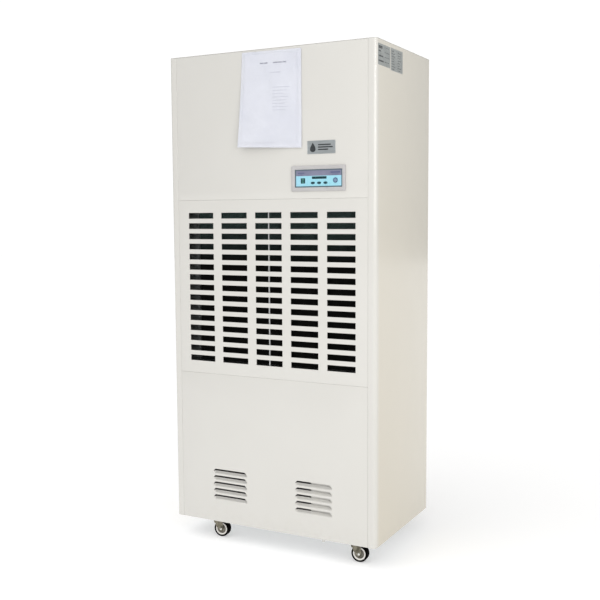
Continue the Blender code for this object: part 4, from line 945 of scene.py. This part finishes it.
def side_labels():
    """Two foil labels at the top of the right side, with ruled rows and unreadable bars."""
    foil, ink = bmesh.new(), bmesh.new()
    plates = (
        ((-0.2230, -0.1250), (BOTTOM + 1.5240, BOTTOM + 1.5890)),
        ((-0.1205, -0.0200), (BOTTOM + 1.5200, BOTTOM + 1.5900)),
    )
    for (y0, y1), (z0, z1) in plates:
        centre, half = ((y0 + y1) / 2, (z0 + z1) / 2), ((y1 - y0) / 2, (z1 - z0) / 2)
        extrude(foil, rounded_rectangle(centre, half, 0.002, 4), SIDE - 0.0002, SIDE + 0.00025, "x")
    reach = (SIDE + 0.0002, SIDE + 0.00032)
    (y0, y1), (z0, z1) = plates[0]
    marks = ((0.030, 0.0090), (0.018, 0.0040), (0.036, 0.0045), (0.040, 0.0050))
    for row, (width, height) in enumerate(marks):
        z = z1 - 0.006 - row * 0.0145
        box(ink, reach, (y0 + 0.004, y0 + 0.004 + width), (z - height, z))
        for part in range(3):
            left = y0 + 0.052 + part * 0.0135
            box(ink, reach, (left, left + random.uniform(0.006, 0.011)), (z - 0.0030, z - 0.0012))
    (y0, y1), (z0, z1) = plates[1]
    for row in range(8):
        z = z1 - 0.006 - row * 0.0079
        box(ink, reach, (y0 + 0.005, y1 - 0.005), (z, z + 0.0003))
        box(ink, reach, (y0 + 0.006, y0 + 0.006 + random.uniform(0.018, 0.036)), (z - 0.0046, z - 0.0026))
        box(ink, reach, (y0 + 0.058, y0 + 0.058 + random.uniform(0.010, 0.030)), (z - 0.0046, z - 0.0026))
    piece("side_labels", foil, "foil", "badge_metal")
    piece("side_label_print", ink, "print", "badge_metal")


# Rear fittings


def rear_fittings():
    _, _, centre, _ = front_face("drain_spout")
    turn = Matrix.Rotation(-math.pi / 2, 4, "X")
    place = Matrix.Translation((centre[0], REAR - 0.0019, centre[1])) @ turn
    spout = [(0.0062, -0.018), (0.0088, -0.018), (0.0090, -0.003), (0.0160, -0.003), (0.0160, -0.0001)]
    spout += [(0.0112, -0.0001), (0.0112, 0.0022), (0.0158, 0.0022), (0.0160, 0.0026), (0.0158, 0.0048)]
    spout += [(0.0150, 0.0052), (0.0092, 0.0054), (0.0085, 0.0062)]
    for start in (0.0100, 0.0155, 0.0210):
        spout += [(0.0085, start - 0.0006), (0.0099, start)]
        spout += [(0.0097, start + 0.0007), (0.0085, start + 0.0045)]
    spout += [(0.0082, 0.0258), (0.0066, 0.0260), (0.0062, 0.0256)]
    bm = bmesh.new()
    lathe(bm, spout, place)
    piece("hose_spout", bm, "spout", "light_plastic", "drain_spout", angle=40)
    _, _, centre, _ = front_face("cable_gland")
    place = Matrix.Translation((centre[0], REAR - 0.0019, centre[1])) @ turn
    body = [(0.0055, -0.010), (0.0100, -0.010), (0.0100, -0.0001), (0.0102, 0.0022), (0.0128, 0.0022)]
    body += [(0.0128, 0.0090), (0.0124, 0.0096), (0.0122, 0.0104), (0.0122, 0.0170)]
    body += [(0.0122 - 0.0050 * math.sin(a), 0.0250 - 0.0080 * math.cos(a)) for a in (0.3, 0.7, 1.1, 1.5)]
    body += [(0.0062, 0.0252), (0.0055, 0.0246)]
    bm = bmesh.new()
    lathe(bm, body, place)
    for inner, outer, along in ((0.0105, 0.0152, (0.0023, 0.0080)), (0.0104, 0.0148, (-0.0062, -0.0002))):
        nut = [(inner, along[0]), (outer - 0.0006, along[0]), (outer, along[0] + 0.0005)]
        nut += [(outer, along[1] - 0.0005), (outer - 0.0006, along[1]), (inner, along[1])]
        lathe(bm, nut, place, 6)
    for i in range(18):
        a = 2 * math.pi * i / 18
        rib = Vector((0.0122 * math.cos(a), 0.0122 * math.sin(a), 0.0))
        tube(bm, [place @ (rib + Vector((0, 0, z))) for z in (0.0105, 0.0135, 0.0168)], 0.0005, 6)
    piece("gland_body", bm, "black", "black_plastic", "cable_gland", angle=40)


# Casters


def caster_frame(place):
    """The matrix of a caster's own frame: swivel axis at the origin, trail along +X."""
    joints = {j["name"]: j for j in frame["joints"]}
    swivel, axle = joints[f"swivel_{place}"]["pos_m"], joints[f"roll_{place}"]["pos_m"]
    turn = math.atan2(axle[1] - swivel[1], axle[0] - swivel[0])
    trail = math.hypot(axle[1] - swivel[1], axle[0] - swivel[0])
    matrix = Matrix.Translation((swivel[0], swivel[1], 0.0)) @ Matrix.Rotation(turn, 4, "Z")
    return matrix, trail, axle[2]


def caster_plate(place, matrix):
    under, above = BOTTOM - 0.0028, BOTTOM - 0.0003
    flat = Matrix.Translation(matrix.translation)
    bm = bmesh.new()
    extrude(bm, rounded_rectangle((0, 0), (0.028, 0.022), 0.004, 6), under, above, "z")
    race = [(0, 0.0562), (0.0060, 0.0562), (0.0068, 0.0567), (0.0070, 0.0588), (0.0046, 0.0588)]
    race += [(0.0046, CROWN[1] + 0.0006), (0.0165, CROWN[1] + 0.0006)]
    race += arc((0.0150, 0.0657), 0.0034, -75, 75, 8)
    race += [(0.0160, under + 0.0001), (0, under + 0.0001)]
    lathe(bm, race, Matrix.Identity(4))
    for x in (-0.0230, 0.0230):
        for y in (-0.0170, 0.0170):
            bolt = [(0, -0.0036), (0.0030, -0.0036), (0.0036, -0.0030), (0.0036, 0.0002), (0, 0.0002)]
            lathe(bm, bolt, Matrix.Translation((x, y, under)), 6)
    node = f"caster_plate_{place}"
    piece(f"caster_top_{place}", bm, "horn", "zinc_steel", node, bevel=0.0003, matrix=flat)


def caster_fork(place, matrix, trail, axle_z, along):
    """A crown over the wheel, two legs that taper to the hub, and the riveted axle."""
    inner, sheet = 0.0135, 0.0020
    outer, front = inner + sheet, trail + 0.006
    bm = bmesh.new()
    outline = arc((0.0, 0.0), 0.0185, 57, 303, 32) + [(front - 0.002, -outer), (front, 0.002 - outer)]
    outline += [(front, outer - 0.002), (front - 0.002, outer)]
    extrude(bm, outline, CROWN[0], CROWN[1], "z")
    for sign in (1, -1):
        leg = [(0.0040, CROWN[1] - 0.0003), (0.0052, 0.0560), (0.0085, 0.0475)]
        leg += arc((0.0020, 0.0420), 0.0110, 28, -12, 4)
        leg += arc((trail, axle_z), 0.0088, 205, 385, 20)
        leg += [(trail + 0.0078, 0.0400), (trail + 0.0064, 0.0470), (front - 0.0003, CROWN[1] - 0.0003)]
        extrude(bm, leg, sign * inner, sign * (outer - 0.0002), "y")
    riding = {"body": f"caster_swivel_{place}", "matrix": matrix}
    node = f"caster_fork_{place}"
    piece(f"caster_horn_{place}", bm, "horn", "zinc_steel", node, bevel=0.0005, **riding)
    axle = bmesh.new()
    pin = [(0, -outer - 0.0024), (0.0024, -outer - 0.0022), (0.0042, -outer - 0.0014), (0.0048, -outer)]
    pin += [(0.0036, -outer), (0.0036, outer), (0.0048, outer), (0.0042, outer + 0.0014)]
    pin += [(0.0024, outer + 0.0022), (0, outer + 0.0024)]
    lathe(axle, pin, along, 24)
    piece(f"caster_axle_{place}", axle, "bolt", "zinc_steel", angle=60, **riding)


def caster_wheel(place, matrix, radius, along):
    """A black tyre on a light core ring, with a dished hub plate inside the ring."""
    riding = {"body": f"caster_roller_{place}", "matrix": matrix}
    half = 0.0120
    side = [(0.0220, half - 0.0020), (0.0224, half - 0.0008), (0.0234, half), (0.0266, half - 0.0002)]
    side += [(0.0277, half - 0.0010), (radius - 0.0002, half - 0.0024), (radius, half - 0.0042)]
    rim = [(0.0166, half - 0.0034), (0.0170, half - 0.0014), (0.0178, half - 0.0006)]
    rim += [(0.0210, half - 0.0006), (0.0218, half - 0.0012), (0.0222, half - 0.0030)]
    cap = [(0.0043, half - 0.0010), (0.0076, half - 0.0008), (0.0090, half - 0.0020)]
    cap += [(0.0130, half - 0.0036), (0.0158, half - 0.0032), (0.0168, half - 0.0030)]
    parts = (
        ("tyre", side, "tyre", "caster_rubber", (f"caster_wheel_{place}",)),
        ("rim", rim, "core", "light_plastic", ()),
        ("hub", cap, "hub", "zinc_steel", ()),
    )
    for part, profile, material, slot, nodes in parts:
        bm = bmesh.new()
        lathe(bm, [(r, -y) for r, y in profile] + [(r, y) for r, y in reversed(profile)], along, 72)
        piece(f"caster_{part}_{place}", bm, material, slot, *nodes, angle=50, **riding)


def casters():
    for place in ("front_left", "front_right", "rear_left", "rear_right"):
        matrix, trail, axle_z = caster_frame(place)
        caster_plate(place, matrix)
        along = Matrix.Translation((trail, 0, axle_z)) @ Matrix.Rotation(math.pi / 2, 4, "X")
        caster_fork(place, matrix, trail, axle_z, along)
        caster_wheel(place, matrix, axle_z, along)


# CAD nodes that keep their shape


def finish_kept_nodes():
    kept = {
        "paint_cad": ("rear_panel", "top_cover", "electrical_box", "electrical_box_lid"),
        "galvanised": ("base_pan", "mid_shelf", "fan_deck", "drain_pan", "scroll_housing", "impeller",
                       "motor_bracket"),
        "copper": ("suction_pipe", "discharge_pipe", "liquid_line", "capillary_tube", "filter_drier"),
        "enamel": ("compressor", "fan_motor"),
        "shaft": ("fan_shaft",),
        "mill": ("filter_frame", "run_capacitor"),
        "grommet": ("compressor_grommet_1", "compressor_grommet_2", "compressor_grommet_3"),
        "hose": ("drain_hose",),
        "black": ("contactor",),
        "grille": ("terminal_block",),
        "board": ("control_board",),
        "film": ("control_overlay",),
    }
    for material, names in kept.items():
        for name in names:
            mesh = frame["nodes"][name].data
            mesh.materials.clear()
            mesh.materials.append(MATERIALS[material])


# Studio


def glowing_floor(name, grey, glow):
    """Matt white that shines a little, like a lit table, so that the cabinet's shadow stays pale."""
    s = Shader(name)
    tone = s.mix(s.ramp(s.noise(1.2), 0.3, 0.7), (grey, grey, grey), (grey * 0.985,) * 3)
    return s.finish(tone, 0.9, Emission_Color=(1.0, 1.0, 1.0, 1.0), Emission_Strength=glow)


def light(name, kind, energy, aim, place=(0.0, 0.0, 0.0), **settings):
    """A light at a place that shines along the aim."""
    data = bpy.data.lights.new(name, kind)
    data.energy = energy
    for setting, value in settings.items():
        setattr(data, setting, value)
    made = bpy.data.objects.new(name, data)
    made.location = place
    made.rotation_euler = aim.to_track_quat("-Z", "Y").to_euler()
    bpy.context.scene.collection.objects.link(made)


def studio():
    """A pale floor, a white sky, three soft suns and a panel light near the right front corner."""
    bpy.ops.mesh.primitive_plane_add(size=40.0, location=(0.0, 0.0, -0.0002))
    floor = bpy.context.object
    floor.name = "studio_floor"
    floor.data.materials.append(glowing_floor("studio_floor", 0.76, 0.40))
    world = bpy.data.worlds.new("studio")
    world.use_nodes = True
    bpy.context.scene.world = world
    nodes, links = world.node_tree.nodes, world.node_tree.links
    sky, seen = nodes["Background"], nodes.new("ShaderNodeBackground")
    for background, strength in ((sky, 0.50), (seen, 1.05)):
        background.inputs["Color"].default_value = (1.0, 1.0, 1.0, 1.0)
        background.inputs["Strength"].default_value = strength
    path, mix = nodes.new("ShaderNodeLightPath"), nodes.new("ShaderNodeMixShader")
    links.new(path.outputs["Is Camera Ray"], mix.inputs["Fac"])
    links.new(sky.outputs["Background"], mix.inputs[1])
    links.new(seen.outputs["Background"], mix.inputs[2])
    links.new(mix.outputs["Shader"], nodes["World Output"].inputs["Surface"])
    suns = (
        ("key", (-0.9, -1.5, 2.6), 60.0, 1.10, (1.0, 1.0, 1.0)),
        ("corner", (1.0, -0.45, 0.12), 12.0, 0.36, (1.0, 0.98, 0.93)),
        ("flank", (2.2, 0.5, 0.9), 50.0, 0.20, (1.0, 0.94, 0.82)),
    )
    for name, towards, width, strength, colour in suns:
        light(name, "SUN", strength, -Vector(towards), color=colour, angle=math.radians(width))
    fill_place = Vector((1.3, -1.5, 1.55))
    light("right_fill", "AREA", 8.0, Vector((0.1, FRONT, 0.9)) - fill_place, fill_place, size=1.0)


def camera():
    data = bpy.data.cameras.new("camera")
    data.lens = CAMERA_LENS
    data.sensor_width = 36.0
    made = bpy.data.objects.new("camera", data)
    bpy.context.scene.collection.objects.link(made)
    turn = Matrix.Rotation(math.radians(CAMERA_YAW), 4, "Z")
    tilt = Matrix.Rotation(math.radians(90.0 + CAMERA_PITCH), 4, "X")
    roll = Matrix.Rotation(math.radians(CAMERA_ROLL), 4, "Z")
    made.matrix_world = Matrix.Translation(CAMERA_PLACE) @ turn @ tilt @ roll
    bpy.context.scene.camera = made
    bpy.context.scene.view_settings.view_transform = "Standard"


CONTROL = front_face("control_bezel")[2]
POUCH_BOTTOM, POUCH_TOP = (corner.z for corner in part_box("document_pouch"))
MATERIALS = make_materials()

camera()
finish_kept_nodes()
side_sheets()
front_sheets()
pressed_louvres()
screws()
outlet_grille()
filter_piece()
coil("evaporator", (-0.190, -0.145), (-0.1965, -0.1950))
coil("condenser", (-0.130, -0.080), (-0.0750, -0.0735))
control_bezel()
control_keys()
control_display()
badge()
pouch()
side_labels()
rear_fittings()
casters()
studio()
